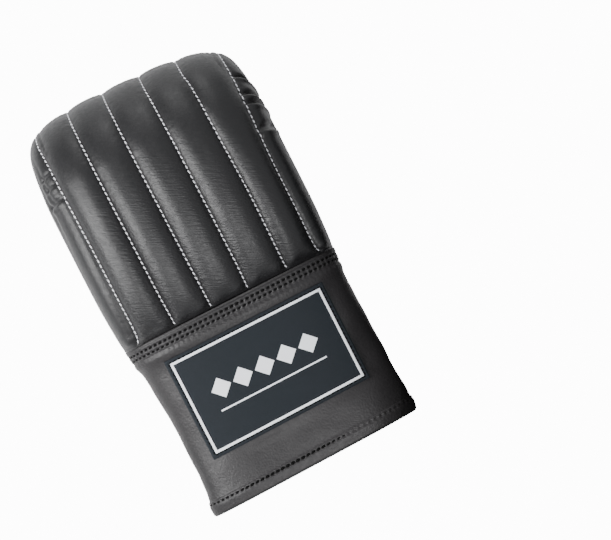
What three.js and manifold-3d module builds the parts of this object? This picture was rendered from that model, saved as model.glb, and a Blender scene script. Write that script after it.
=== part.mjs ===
// A left-hand bag glove that lies palm down: a mitten for punch bags with a channelled foam pad over the
// back of the hand, a rolled finger end, a leather palm with a sewn-on thumb, and an elastic wrist.
// Millimetres. X runs across the hand with the thumb at +X, Y from the wrist hem to the finger end, Z up.
// While it is modelled, Y is 0 at the hem. The last lines move the origin to the middle of the footprint.
import * as THREE from "three";
import Module from "manifold-3d";

const wasm = await Module();
wasm.setup();

// Driving sizes
const gloveLength = 248;
const gloveHeight = 72;
const padWidth = 138;
const cuffWidth = 129;
const cuffLength = 107;
const foamThickness = 24;
const sideFoamThickness = 9;
const channelDepth = 4.5;
const channelCount = 5;
const cuffWall = 3;
const palmLeather = 2;
const flapLeather = 1.6;
const thumbLeather = 1.8;
const rollReach = 41;
const rollInset = 7;
const gussetWidth = 10;
const thumbWidth = 54;
const thumbTipGap = 10;
const thumbHeelGap = 2.8;
const thumbSideGap = 0.8;
const thumbSeamWidth = 2;
const thumbLeanDegrees = 13;
const elasticWidth = 40;
const elasticThickness = 1.4;
const elasticHeight = 45;
const elasticSquash = 0.15;
const labelWidth = 102;
const labelLength = 62.5;
const labelThickness = 0.9;
const labelSeamDistance = 14.5;
const labelOffset = 1.5;
const slitOffset = -4.6;
const slitOverlap = 19;
const flapTopMargin = 6;
const flapTopLap = 4;
const flapCornerRise = 9;
const flapCornerWidth = 21;
const flapHemHeight = 8.5;
const palmHemHeight = 4.5;
const goreLength = 24;
const goreWidth = 11;
const goreThickness = 1.1;
const hemWidth = 9;
const hemSwell = 1;
const fingerEndSkew = 4;
const hemSkew = 3;
const sewnGap = 0.3;
const laidGap = 0.5;

// Places along the glove, from the hem, that follow from them
const flapTopHeight = elasticHeight + elasticWidth + flapTopMargin;
const palmSeamHeight = gloveLength - rollReach - gussetWidth;
const rollWidth = padWidth - 2 * rollInset;
const padLength = gloveLength - cuffLength;
const wristLayers = laidGap + flapLeather + laidGap / 2 + elasticThickness;

// Leather roundness: exponents of the half-ovals that the cross-sections are made of
const padRound = 3.2;
const padLiningRound = 2.6;
const cuffRound = 2.6;
const palmRound = 4.5;

const clamp = (value, low, high) => Math.min(high, Math.max(low, value));
const mix = (a, b, share) => a + (b - a) * share;

// A smooth curve through one column of a table whose rows are placed by their "at", that never
// overshoots a row
function track(rows, column) {
  const slopes = rows.slice(1).map((row, i) => (
    (row[column] - rows[i][column]) / (row.at - rows[i].at)
  ));
  const tangents = rows.map((row, i) => {
    const before = slopes[Math.max(0, i - 1)];
    const after = slopes[Math.min(slopes.length - 1, i)];
    return before * after <= 0 ? 0 : (2 * before * after) / (before + after);
  });
  return (at) => {
    const place = clamp(at, rows[0].at, rows[rows.length - 1].at);
    let i = 0;
    while (i < rows.length - 2 && place > rows[i + 1].at) i += 1;
    const span = rows[i + 1].at - rows[i].at;
    const t = (place - rows[i].at) / span;
    const rise = (1 - t) * (1 - t) * t * span;
    const fall = (1 - t) * t * t * span;
    const blend = t * t * (3 - 2 * t);
    return mix(rows[i][column], rows[i + 1][column], blend) + rise * tangents[i] - fall * tangents[i + 1];
  };
}

// Every column of a table as such a curve
const tracksOf = (rows) => Object.fromEntries(
  Object.keys(rows[0]).map((column) => [column, track(rows, column)]),
);

// The hand tube along its length. at: share of the glove's length; seam and crown: heights of the side
// seam and of the cuff's top; palm: how far the palm's underside lifts off the wrist's layers; these
// three are shares of the glove's height; wide: share of the way from the drawn-in wrist's width to
// the pad's; tuck: how far the palm leather lies within the back's sides, as a share of the layers
// over it; sway: how far the middle lies towards the thumb side, as a share of the pad's width.
const tubeRows = [
  { at: 0.0, seam: 0.264, palm: 0.0, crown: 0.53, wide: 0.44, tuck: 1.0, sway: 0.012 },
  { at: 0.12, seam: 0.27, palm: 0.0, crown: 0.545, wide: 0.05, tuck: 1.0, sway: 0.02 },
  { at: 0.24, seam: 0.278, palm: 0.0, crown: 0.59, wide: 0.05, tuck: 1.0, sway: 0.017 },
  { at: 0.345, seam: 0.295, palm: 0.002, crown: 0.64, wide: 0.2, tuck: 0.95, sway: 0.009 },
  { at: 0.4, seam: 0.31, palm: 0.055, crown: 0.675, wide: 0.45, tuck: 0.7, sway: 0.002 },
  { at: 0.465, seam: 0.34, palm: 0.135, crown: 0.7, wide: 0.62, tuck: 0.35, sway: 0.0 },
  { at: 0.545, seam: 0.38, palm: 0.2, crown: 0.7, wide: 0.82, tuck: 0.1, sway: 0.0 },
  { at: 0.65, seam: 0.41, palm: 0.235, crown: 0.7, wide: 1.0, tuck: 0.0, sway: 0.0 },
  { at: 0.795, seam: 0.417, palm: 0.255, crown: 0.7, wide: 1.0, tuck: 0.0, sway: 0.0 },
  { at: 0.855, seam: 0.408, palm: 0.27, crown: 0.7, wide: 0.9, tuck: 0.0, sway: 0.0 },
  { at: 0.91, seam: 0.385, palm: 0.285, crown: 0.7, wide: 0.0, tuck: 0.0, sway: 0.0 },
];
const tubeTrack = tracksOf(tubeRows);

const seamHeight = (s) => gloveHeight * tubeTrack.seam(s / gloveLength);
const palmHeight = (s) => (
  wristLayers - elasticSquash + gloveHeight * tubeTrack.palm(s / gloveLength)
);
const crownHeight = (s) => gloveHeight * tubeTrack.crown(s / gloveLength);
const tubeHalfWidth = (s) => mix(cuffWidth, padWidth, tubeTrack.wide(s / gloveLength)) / 2;
const tubeMiddle = (s) => padWidth * tubeTrack.sway(s / gloveLength);
const palmHalfWidth = (s) => (
  tubeHalfWidth(s) - tubeTrack.tuck(s / gloveLength) * (wristLayers + sewnGap)
);

// Hollows between the palm's soft bumps. across and wide: place and reach, shares of the pad's half-
// width; at and long: place and reach, shares of the glove's length; deep: share of the palm leather's
// thickness.
const palmDents = [
  { across: -0.56, at: 0.7, wide: 0.3, long: 0.05, deep: 0.9 },
  { across: -0.12, at: 0.67, wide: 0.16, long: 0.06, deep: 0.8 },
  { across: -0.5, at: 0.52, wide: 0.34, long: 0.035, deep: 0.9 },
  { across: 0.72, at: 0.72, wide: 0.16, long: 0.06, deep: 0.6 },
];
const palmDent = (x, s) => palmDents.reduce((sum, dent) => {
  const aside = (x / (padWidth / 2) - dent.across) / dent.wide;
  const along = (s / gloveLength - dent.at) / dent.long;
  return sum + palmLeather * dent.deep * Math.exp(-aside * aside - along * along);
}, 0);

// Across a half-oval, an angle from -90 to 90 degrees gives the share of the half-width and of the depth
const acrossShare = (angle, round) => Math.sign(Math.sin(angle)) * Math.abs(Math.sin(angle)) ** (2 / round);
const depthShare = (angle, round) => Math.max(0, Math.cos(angle)) ** (2 / round);
const angleOfShare = (share, round) => (
  Math.sign(share) * Math.asin(Math.min(1, Math.abs(share)) ** (round / 2))
);

// Angles across a half-oval: even steps across its flatter middle, up to the share "flat", then round
// its bends
function anglesAcross(round, flat, flatSteps, bendSteps) {
  const edge = angleOfShare(flat, round);
  const angles = [];
  for (let i = 0; i < bendSteps; i += 1) angles.push(mix(-Math.PI / 2, -edge, i / bendSteps));
  for (let i = 0; i <= flatSteps; i += 1) angles.push(angleOfShare(mix(-flat, flat, i / flatSteps), round));
  for (let i = 1; i <= bendSteps; i += 1) angles.push(mix(edge, Math.PI / 2, i / bendSteps));
  return angles;
}

// A point on the cuff's back, "out" millimetres outside its leather, and one on the palm side
function cuffPoint(angle, s, out) {
  const half = tubeHalfWidth(s) + out;
  const base = seamHeight(s) + sewnGap;
  const rise = crownHeight(s) + out - base;
  const x = tubeMiddle(s) + half * acrossShare(angle, cuffRound);
  return new THREE.Vector3(x, s, base + rise * depthShare(angle, cuffRound));
}
function palmPoint(angle, s, out) {
  const half = palmHalfWidth(s) + out;
  const base = seamHeight(s) - sewnGap;
  const drop = base - (palmHeight(s) - out);
  const x = tubeMiddle(s) + half * acrossShare(angle, palmRound);
  return new THREE.Vector3(x, s, base - drop * depthShare(angle, palmRound) + palmDent(x, s));
}
function palmAngleAt(x, s, out) {
  return angleOfShare((x - tubeMiddle(s)) / (palmHalfWidth(s) + out), palmRound);
}
function palmUnderside(x, s) {
  return palmPoint(palmAngleAt(x, s, 0), s, 0).z;
}

// Turned hems are thicker for their width
const hemStations = (edge) => [0, 0.4, 0.97, 1.03].map((share) => edge + share * hemWidth);
const hemOut = (s, edge) => (s < edge + hemWidth ? hemSwell : 0);

// A closed solid from points and triangles, turned so that its faces look outward
function solidGeometry(points, triangles) {
  const geometry = new THREE.BufferGeometry();
  const places = points.flatMap((p) => [p.x, p.y, p.z]);
  geometry.setAttribute("position", new THREE.Float32BufferAttribute(places, 3));
  const volume = triangles.reduce((sum, [a, b, c]) => {
    const normal = new THREE.Vector3().crossVectors(points[b], points[c]);
    return sum + points[a].dot(normal);
  }, 0);
  geometry.setIndex((volume < 0 ? triangles.map(([a, b, c]) => [a, c, b]) : triangles).flat());
  geometry.computeVertexNormals();
  return geometry;
}

const quad = (a, b, c, d) => [[a, b, c], [a, c, d]];

// A sheet with thickness: two grids of the same size, one on each face, joined round their borders
function sheetSolid(outer, inner) {
  const rows = outer.length;
  const columns = outer[0].length;
  const points = [...outer.flat(), ...inner.flat()];
  const at = (face, i, j) => face * rows * columns + i * columns + j;
  const triangles = [];
  for (let i = 0; i < rows - 1; i += 1) {
    for (let j = 0; j < columns - 1; j += 1) {
      triangles.push(...quad(at(0, i, j), at(0, i, j + 1), at(0, i + 1, j + 1), at(0, i + 1, j)));
      triangles.push(...quad(at(1, i, j), at(1, i + 1, j), at(1, i + 1, j + 1), at(1, i, j + 1)));
    }
  }
  for (let j = 0; j < columns - 1; j += 1) {
    triangles.push(...quad(at(0, 0, j), at(1, 0, j), at(1, 0, j + 1), at(0, 0, j + 1)));
    const end = rows - 1;
    triangles.push(...quad(at(0, end, j), at(0, end, j + 1), at(1, end, j + 1), at(1, end, j)));
  }
  for (let i = 0; i < rows - 1; i += 1) {
    triangles.push(...quad(at(0, i, 0), at(0, i + 1, 0), at(1, i + 1, 0), at(1, i, 0)));
    const last = columns - 1;
    triangles.push(...quad(at(0, i, last), at(1, i, last), at(1, i + 1, last), at(0, i + 1, last)));
  }
  return solidGeometry(points, triangles);
}

function grid(stations, angles, point) {
  return stations.map((station) => angles.map((angle) => point(angle, station)));
}

// Triangles between two closed rings of as many points, and from a ring to one point
function bandBetween(first, second, count) {
  const faces = [];
  for (let k = 0; k < count; k += 1) {
    const next = (k + 1) % count;
    faces.push(...quad(first + k, first + next, second + next, second + k));
  }
  return faces;
}
function fanTo(ring, tip, count, turned) {
  const faces = [];
  for (let k = 0; k < count; k += 1) {
    const next = (k + 1) % count;
    faces.push(turned ? [ring + next, ring + k, tip] : [ring + k, ring + next, tip]);
  }
  return faces;
}

const ringMiddle = (ring) => (
  ring.reduce((sum, p) => sum.add(p), new THREE.Vector3()).multiplyScalar(1 / ring.length)
);

// Rings along a path, closed at both ends by a fan
function tubeSolid(rings) {
  const count = rings[0].length;
  const points = rings.flat();
  points.push(ringMiddle(rings[0]), ringMiddle(rings[rings.length - 1]));
  const triangles = rings.slice(1).flatMap((ring, i) => bandBetween(i * count, (i + 1) * count, count));
  triangles.push(...fanTo(0, points.length - 2, count, true));
  triangles.push(...fanTo((rings.length - 1) * count, points.length - 1, count, false));
  return solidGeometry(points, triangles);
}

// A pouch: outer rings from the rim to a closed tip, and inner rings likewise, joined round the rim
function pouchSolid(outer, outerTip, inner, innerTip) {
  const count = outer[0].length;
  const points = [...outer.flat(), outerTip, ...inner.flat(), innerTip];
  const innerStart = outer.length * count + 1;
  const triangles = outer.slice(1).flatMap((ring, i) => bandBetween(i * count, (i + 1) * count, count));
  triangles.push(...fanTo((outer.length - 1) * count, innerStart - 1, count, false));
  for (let i = 0; i < inner.length - 1; i += 1) {
    triangles.push(...bandBetween(innerStart + (i + 1) * count, innerStart + i * count, count));
  }
  triangles.push(...fanTo(innerStart + (inner.length - 1) * count, points.length - 1, count, true));
  triangles.push(...bandBetween(innerStart, 0, count));
  return solidGeometry(points, triangles);
}

// Booleans
function manifoldOf(geometry) {
  return new wasm.Manifold(new wasm.Mesh({
    numProp: 3,
    vertProperties: new Float32Array(geometry.getAttribute("position").array),
    triVerts: new Uint32Array(geometry.index.array),
  }));
}
function geometryOf(manifold) {
  const mesh = manifold.getMesh();
  const geometry = new THREE.BufferGeometry();
  geometry.setAttribute("position", new THREE.Float32BufferAttribute(mesh.vertProperties, 3));
  geometry.setIndex(new THREE.BufferAttribute(mesh.triVerts, 1));
  geometry.computeVertexNormals();
  return geometry;
}
function prism(outline, low, high) {
  const rings = [low, high].map((z) => outline.map(([x, y]) => new THREE.Vector3(x, y, z)));
  return manifoldOf(tubeSolid(rings));
}

// Materials
const leather = new THREE.MeshStandardMaterial({ color: "#1d1b1d", roughness: 0.42, metalness: 0 });
const elasticWeave = new THREE.MeshStandardMaterial({ color: "#1b1e22", roughness: 0.85, metalness: 0 });
const labelWeave = new THREE.MeshStandardMaterial({ color: "#1f252b", roughness: 0.8, metalness: 0 });

const glove = new THREE.Group();
function addPiece(name, geometry, material) {
  const mesh = new THREE.Mesh(geometry, material);
  mesh.name = name;
  glove.add(mesh);
}

// Striking pad. crest: its outer line along the middle of the back; edge: the foot of its side walls.
// Lengths are shares of the pad's length from the wrist seam, heights of the glove's height, and foam
// of the foam's thickness. pinch is how far the side gathers pull in, as a share of the side foam.
const padRows = [
  { at: 0.0, crestY: 0.0, crestZ: 0.69, edgeY: 0.0, wide: 0.975, foam: 0.55, groove: 0.0, pinch: 0 },
  { at: 0.05, crestY: 0.035, crestZ: 0.795, edgeY: 0.035, wide: 0.985, foam: 0.82, groove: 0.85, pinch: 0 },
  { at: 0.112, crestY: 0.105, crestZ: 0.868, edgeY: 0.1, wide: 0.992, foam: 0.92, groove: 1.0, pinch: 0 },
  { at: 0.217, crestY: 0.235, crestZ: 0.94, edgeY: 0.22, wide: 1.0, foam: 1.0, groove: 1.0, pinch: 0 },
  { at: 0.343, crestY: 0.39, crestZ: 0.986, edgeY: 0.362, wide: 1.0, foam: 1.0, groove: 1.0, pinch: 0 },
  { at: 0.472, crestY: 0.553, crestZ: 1.0, edgeY: 0.503, wide: 1.0, foam: 1.0, groove: 0.9, pinch: 0 },
  { at: 0.59, crestY: 0.7, crestZ: 0.975, edgeY: 0.624, wide: 1.0, foam: 1.0, groove: 0.8, pinch: 0.12 },
  { at: 0.697, crestY: 0.83, crestZ: 0.885, edgeY: 0.702, wide: 0.99, foam: 1.0, groove: 0.75, pinch: 0.26 },
  { at: 0.796, crestY: 0.924, crestZ: 0.735, edgeY: 0.758, wide: 0.98, foam: 1.0, groove: 0.7, pinch: 0.22 },
  { at: 0.885, crestY: 0.983, crestZ: 0.553, edgeY: 0.794, wide: 0.965, foam: 0.98, groove: 0.65, pinch: 0.1 },
  { at: 0.949, crestY: 1.0, crestZ: 0.403, edgeY: 0.815, wide: 0.95, foam: 0.95, groove: 0.5, pinch: 0 },
  { at: 1.0, crestY: 0.988, crestZ: 0.285, edgeY: 0.829, wide: 0.93, foam: 0.86, groove: 0.2, pinch: 0 },
];
const padTrack = tracksOf(padRows);
const shoulderShare = channelCount / (channelCount + 1);
const thinnestPocket = sewnGap * 10;
const pleatStart = 0.6;
const pleatEnd = 0.86;
const pleatStations = 12;

// Each stitch line pulls the cover down, and the foam swells between two of them
function channelDip(share) {
  const inside = clamp((share + shoulderShare) / (2 * shoulderShare), 0, 1) * channelCount;
  const fromStitch = Math.abs(share) > shoulderShare
    ? (Math.abs(share) - shoulderShare) / (1 - shoulderShare)
    : 1 - Math.abs(2 * (inside - Math.floor(Math.min(inside, channelCount - 1e-6))) - 1);
  return (1 - clamp(fromStitch * 1.15, 0, 1)) ** 2.2;
}

function padCrest(at) {
  return new THREE.Vector3(
    0,
    cuffLength + sewnGap + padTrack.crestY(at) * (padLength - sewnGap),
    gloveHeight * padTrack.crestZ(at),
  );
}
function padEdge(at) {
  const s = cuffLength + sewnGap + padTrack.edgeY(at) * (padLength - sewnGap);
  return new THREE.Vector3(0, s, seamHeight(s) + sewnGap);
}
function padPoint(angle, at) {
  const crest = padCrest(at);
  const edge = padEdge(at);
  const up = crest.clone().sub(edge);
  const depth = up.length();
  up.normalize();
  const half = (padWidth / 2) * padTrack.wide(at);
  const share = acrossShare(angle, padRound);
  const rise = depthShare(angle, padRound);
  const normal = new THREE.Vector2(
    (Math.sign(share) * Math.abs(share) ** (padRound - 1)) / half,
    rise ** (padRound - 1) / depth,
  ).normalize();
  const pleat = Math.cos((Math.PI * (at - pleatStart) * pleatStations) / (pleatEnd - pleatStart));
  const beyondShoulder = clamp((Math.abs(share) - shoulderShare) / (1 - shoulderShare), 0, 1);
  const onSide = beyondShoulder * Math.min(1, 4 * rise);
  const dip = channelDepth * padTrack.groove(at) * channelDip(share)
    + sideFoamThickness * padTrack.pinch(at) * onSide * (0.5 + 0.5 * pleat);
  const point = edge.clone().addScaledVector(up, depth * rise - dip * normal.y);
  point.x = half * share - dip * normal.x;
  return point;
}
function padLiningPoint(angle, at) {
  const crest = padCrest(at);
  const edge = padEdge(at);
  const up = crest.clone().sub(edge);
  const full = up.length();
  const depth = Math.max(thinnestPocket, full - foamThickness * padTrack.foam(at));
  const half = (padWidth / 2) * padTrack.wide(at) - sideFoamThickness;
  const point = edge.clone().addScaledVector(up.normalize(), depth * depthShare(angle, padLiningRound));
  point.x = half * acrossShare(angle, padLiningRound);
  return point;
}

const padAngles = anglesAcross(padRound, shoulderShare, channelCount * 4, 4);
const padStations = [0, 0.02, 0.05, 0.085, 0.125, 0.18, 0.24, 0.3, 0.36, 0.42, 0.48, 0.54];
for (let i = 0; i <= pleatStations; i += 1) padStations.push(mix(pleatStart, pleatEnd, i / pleatStations));
padStations.push(0.9, 0.935, 0.97, 1);
addPiece("padded_back", sheetSolid(
  grid(padStations, padAngles, padPoint),
  grid(padStations, padAngles, padLiningPoint),
), leather);

// Cuff back, from its turned hem to the wrist seam
const cuffAngles = anglesAcross(cuffRound, 0.7, 8, 7);
const cuffRun = [0.13, 0.24, 0.36, 0.5, 0.62, 0.74, 0.86, 0.94, 1];
const cuffStations = [
  ...hemStations(0),
  ...cuffRun.map((share) => mix(hemWidth, cuffLength, (share - 0.1) / 0.9)),
];
const cuffHemRound = (s) => (s === 0 ? -0.8 * hemSwell : 0);
addPiece("cuff_back", sheetSolid(
  grid(cuffStations, cuffAngles, (angle, s) => cuffPoint(angle, s, hemOut(s, 0) + cuffHemRound(s))),
  grid(cuffStations, cuffAngles, (angle, s) => cuffPoint(angle, s, -cuffWall)),
), leather);

// Palm leather, cut away under the wrist flap and open where the thumb goes in
const palmFlat = 0.8;
const palmBends = 6;
const palmAngles = anglesAcross(palmRound, palmFlat, 12, palmBends);
const palmEnd = palmSeamHeight - sewnGap / 2;
const wristRun = [0.12, 0.2, 0.3, 0.38, 0.42, 0.45, 0.475, 0.5];
const handRun = [0.53, 0.58, 0.63, 0.68, 0.74, 0.8, 0.86, 0.93, 1];
const palmStations = [
  ...hemStations(palmHemHeight),
  ...[...wristRun, ...handRun].map((share) => share * palmEnd),
];
const thumbLean = THREE.MathUtils.degToRad(thumbLeanDegrees);
const thumbAhead = new THREE.Vector3(-Math.sin(thumbLean), Math.cos(thumbLean), 0);
const thumbAcross = new THREE.Vector3(Math.cos(thumbLean), Math.sin(thumbLean), 0);
// The thumb fills the palm between the flap and the roll, beside the gore. Its reach runs from the
// hole's middle to its tip, and its heel lies a share of that reach behind the middle.
const thumbHeelShare = 0.37;
const thumbTipShare = 0.985;
const thumbRoom = gloveLength - rollReach - thumbTipGap - flapTopHeight - thumbHeelGap;
const thumbReach = thumbRoom / ((thumbHeelShare + thumbTipShare) * Math.cos(thumbLean));
const goreSide = slitOffset + goreWidth * 0.72;
const thumbHole = new THREE.Vector3(
  goreSide + thumbSideGap + thumbWidth / 2,
  flapTopHeight + thumbHeelGap + thumbHeelShare * thumbReach * Math.cos(thumbLean),
  0,
);
const holeHalfWidth = thumbWidth / 2 - thumbLeather - thumbSeamWidth;
const holeHalfLength = thumbReach * (thumbHeelShare - 0.01) - thumbLeather - thumbSeamWidth / 2;
const holeSides = 24;
const holeOutline = Array.from({ length: holeSides }, (_, k) => {
  const turn = (2 * Math.PI * k) / holeSides;
  const point = thumbHole.clone()
    .addScaledVector(thumbAcross, holeHalfWidth * Math.cos(turn))
    .addScaledVector(thumbAhead, holeHalfLength * Math.sin(turn));
  return [point.x, point.y];
});
const slitInner = slitOffset + slitOverlap;
const cutTop = flapTopHeight - flapTopLap;
const cutaway = [
  [slitInner, -hemWidth],
  [padWidth, -hemWidth],
  [padWidth, cutTop],
  [slitInner, cutTop],
];
const palmSheet = manifoldOf(sheetSolid(
  grid(palmStations, palmAngles, (angle, s) => palmPoint(angle, s, 0)),
  grid(palmStations, palmAngles, (angle, s) => (
    palmPoint(angle, s, -palmLeather - hemOut(s, palmHemHeight))
  )),
));
addPiece("palm_panel", geometryOf(palmSheet
  .subtract(prism(cutaway, -gloveHeight, gloveHeight))
  .subtract(prism(holeOutline, -gloveHeight, gloveHeight))), leather);

// Finger gusset, the strip that goes on from the palm seam to the inside of the finger end
const gussetStart = palmSeamHeight + sewnGap / 2;
const gussetEndShare = 0.838;
const gussetEnd = cuffLength + padLength * gussetEndShare;
const gussetStations = [0, 0.25, 0.5, 0.75, 1].map((share) => mix(gussetStart, gussetEnd, share));
addPiece("finger_gusset", sheetSolid(
  grid(gussetStations, palmAngles, (angle, s) => palmPoint(angle, s, 0)),
  grid(gussetStations, palmAngles, (angle, s) => palmPoint(angle, s, -palmLeather)),
), leather);

// Finger roll: the pad's smooth end, which lies back under the gusset. fold: how far its fold draws
// back towards the finger end at the sides, as a share of its reach; floor and top: its underside and
// upper side, shares of its depth.
const rollRows = [
  { at: 0.0, fold: 0.0, floor: -0.05, top: 1.0 },
  { at: 0.35, fold: 0.05, floor: -0.05, top: 1.0 },
  { at: 0.6, fold: 0.19, floor: 0.0, top: 1.0 },
  { at: 0.8, fold: 0.38, floor: 0.14, top: 1.0 },
  { at: 0.92, fold: 0.55, floor: 0.34, top: 0.98 },
  { at: 0.98, fold: 0.7, floor: 0.52, top: 0.93 },
  { at: 1.0, fold: 0.8, floor: 0.66, top: 0.86 },
];
const rollTrack = tracksOf(rollRows);
const rollRound = 2.4;
const rollRoundAbove = 5;
const rollSides = 20;
const rollSteps = [0.14, 0.3, 0.46, 0.6, 0.72, 0.82, 0.9, 0.96, 1];
const rollStations = [...rollSteps.map((share) => -share).reverse(), 0, ...rollSteps];
const rollSeatGap = sewnGap + 0.1;
function rollRing(share) {
  const x = (share * rollWidth) / 2;
  const lastCrest = padCrest(1);
  const lastEdge = padEdge(1);
  const seatSlope = (lastCrest.z - lastEdge.z) / (lastCrest.y - lastEdge.y);
  const endHalfWidth = (padWidth / 2) * padTrack.wide(1);
  const fullness = depthShare(angleOfShare(x / endHalfWidth, padRound), padRound);
  const tipY = mix(lastEdge.y, lastCrest.y, fullness) - sewnGap;
  const foldY = mix(gloveLength - rollReach, tipY, rollTrack.fold(Math.abs(share)));
  return Array.from({ length: rollSides }, (_, k) => {
    const turn = (2 * Math.PI * k) / rollSides;
    const round = Math.sin(turn) > 0 ? rollRoundAbove : rollRound;
    const side = Math.sign(Math.cos(turn)) * Math.abs(Math.cos(turn)) ** (2 / round);
    const height = Math.sign(Math.sin(turn)) * Math.abs(Math.sin(turn)) ** (2 / round);
    const y = mix(foldY, tipY, 0.5 + 0.5 * side);
    const underPad = lastEdge.z + (y - lastEdge.y) * seatSlope - rollSeatGap;
    const ceiling = Math.min(palmUnderside(x, y) - laidGap, underPad);
    const floor = rollTrack.floor(Math.abs(share));
    const top = rollTrack.top(Math.abs(share));
    const z = ceiling * mix(floor, top, 0.5 + 0.5 * height);
    return new THREE.Vector3(x, y, Math.max(0, z));
  });
}
addPiece("finger_roll", tubeSolid(rollStations.map(rollRing)), leather);

// Thumb pouch, a horn that leaves the palm's oval hole and turns to lie along the palm. heel and
// crotch are its far and near side along its own axis, as shares of its reach from the hole's middle;
// low and high are how much of the palm's height above the floor each has there; half is a share of
// its half-width.
const thumbRows = [
  { at: 0.0, heel: -0.36, crotch: 0.36, low: 1.0, high: 1.0, half: 0.93 },
  { at: 0.08, heel: -0.37, crotch: 0.375, low: 0.62, high: 0.97, half: 0.98 },
  { at: 0.17, heel: -0.31, crotch: 0.39, low: 0.3, high: 0.94, half: 1.0 },
  { at: 0.28, heel: -0.15, crotch: 0.43, low: 0.08, high: 0.93, half: 1.0 },
  { at: 0.42, heel: 0.1, crotch: 0.5, low: 0.02, high: 0.92, half: 0.96 },
  { at: 0.56, heel: 0.36, crotch: 0.6, low: 0.02, high: 0.92, half: 0.86 },
  { at: 0.7, heel: 0.59, crotch: 0.71, low: 0.04, high: 0.9, half: 0.7 },
  { at: 0.82, heel: 0.77, crotch: 0.83, low: 0.1, high: 0.84, half: 0.54 },
  { at: 0.92, heel: 0.91, crotch: 0.935, low: 0.22, high: 0.72, half: 0.36 },
  { at: 1.0, heel: 0.985, crotch: 0.99, low: 0.4, high: 0.6, half: 0.16 },
];
// Creases of the empty pouch: at and turn place the middle of each, turn in degrees round the pouch
// from its thumb side, with -90 facing the floor; drift is how far it turns along its length; deep is
// a share of the thumb's leather.
const thumbFolds = [
  { at: 0.52, run: 0.46, turn: -119, drift: -10, width: 13, deep: 2.3 },
  { at: 0.26, run: 0.2, turn: -72, drift: -16, width: 10, deep: 1.2 },
];
const thumbTrack = tracksOf(thumbRows);
const floorGap = sewnGap * 0.7;
function thumbFoldDepth(at, turn) {
  return thumbFolds.reduce((sum, fold) => {
    const along = (at - fold.at) / fold.run;
    const line = fold.turn + fold.drift * along;
    const away = (THREE.MathUtils.euclideanModulo(turn - line + 180, 360) - 180) / fold.width;
    return sum + thumbLeather * fold.deep * Math.max(0, 1 - along * along) * Math.exp(-away * away);
  }, 0);
}
function thumbRing(at, inset, turns) {
  const ends = ["heel", "crotch"].map((end, i) => {
    const inward = i === 0 ? inset : -inset;
    const along = thumbReach * thumbTrack[end](at) + inward;
    const place = thumbHole.clone().addScaledVector(thumbAhead, along);
    const under = palmUnderside(place.x, place.y) - laidGap;
    const share = thumbTrack[i === 0 ? "low" : "high"](at);
    place.z = floorGap + (under - floorGap) * share + (at > 0.3 ? inward : 0);
    return place;
  });
  const middle = ends[0].clone().add(ends[1]).multiplyScalar(0.5);
  const reach = ends[1].clone().sub(ends[0]).multiplyScalar(0.5);
  const half = Math.max(1, (thumbWidth / 2) * thumbTrack.half(at) - inset);
  return turns.map((turn) => {
    const radians = THREE.MathUtils.degToRad(turn);
    const shrink = 1 - (inset > 0 ? 0 : thumbFoldDepth(at, turn)) / Math.max(half, 12);
    const point = middle.clone()
      .addScaledVector(thumbAcross, half * Math.cos(radians) * shrink)
      .addScaledVector(reach, Math.sin(radians));
    point.z += inset > 0 ? 0 : thumbFoldDepth(at, turn);
    const under = palmUnderside(point.x, point.y) - laidGap;
    const ceiling = at === 0 ? under : under - (inset > 0 ? inset : 0);
    point.z = at === 0 ? under : clamp(point.z, floorGap + inset, ceiling);
    return point;
  });
}
const thumbSides = 24;
const thumbTurns = Array.from({ length: thumbSides }, (_, k) => (360 * k) / thumbSides - 180);
const thumbStations = [0, 0.05, 0.1, 0.17, 0.26, 0.36, 0.47, 0.58, 0.7, 0.81, 0.9, 0.96];
const thumbLiningStations = [0, 0.08, 0.17, 0.26, 0.36, 0.47, 0.58, 0.7, 0.8];
const thumbOuter = thumbStations.map((at) => thumbRing(at, 0, thumbTurns));
const thumbInner = thumbLiningStations.map((at) => thumbRing(at, thumbLeather, thumbTurns));
addPiece("thumb_pouch", pouchSolid(
  thumbOuter,
  ringMiddle(thumbRing(1, 0, thumbTurns)),
  thumbInner,
  ringMiddle(thumbRing(0.86, thumbLeather, thumbTurns)),
), leather);

// Wrist flap, over the palm leather on the thumb side
const flapShares = [0, 0.07, 0.14, 0.21, 0.28, 0.35, 0.43];
for (let i = 0; i <= palmBends; i += 1) flapShares.push(0.5 + (0.5 * i) / palmBends);
const flapRun = [0.08, 0.28, 0.54, 0.76, 0.87, 0.94, 1];
const flapBody = flapHemHeight + hemWidth;
const flapStations = [
  ...hemStations(flapHemHeight),
  ...flapRun.map((share) => mix(flapBody, flapTopHeight, share)),
];
const flapPoint = (share, s, out) => {
  const across = mix(slitOffset, tubeMiddle(s) + palmFlat * palmHalfWidth(s), share * 2);
  const raised = clamp((s - elasticHeight) / (flapTopHeight - elasticHeight), 0, 1) ** 2;
  const nearCorner = Math.max(0, 1 - (across - slitOffset) / flapCornerWidth);
  const place = s + flapCornerRise * raised * nearCorner ** 1.5;
  const bend = mix(angleOfShare(palmFlat, palmRound), Math.PI / 2, share * 2 - 1);
  return palmPoint(share < 0.5 ? palmAngleAt(across, place, out) : bend, place, out);
};
const flapOutside = (s) => laidGap + flapLeather + hemOut(s, flapHemHeight) * 0.6;
addPiece("wrist_flap", sheetSolid(
  grid(flapStations, flapShares, (share, s) => flapPoint(share, s, flapOutside(s))),
  grid(flapStations, flapShares, (share, s) => flapPoint(share, s, laidGap)),
), leather);

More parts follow.
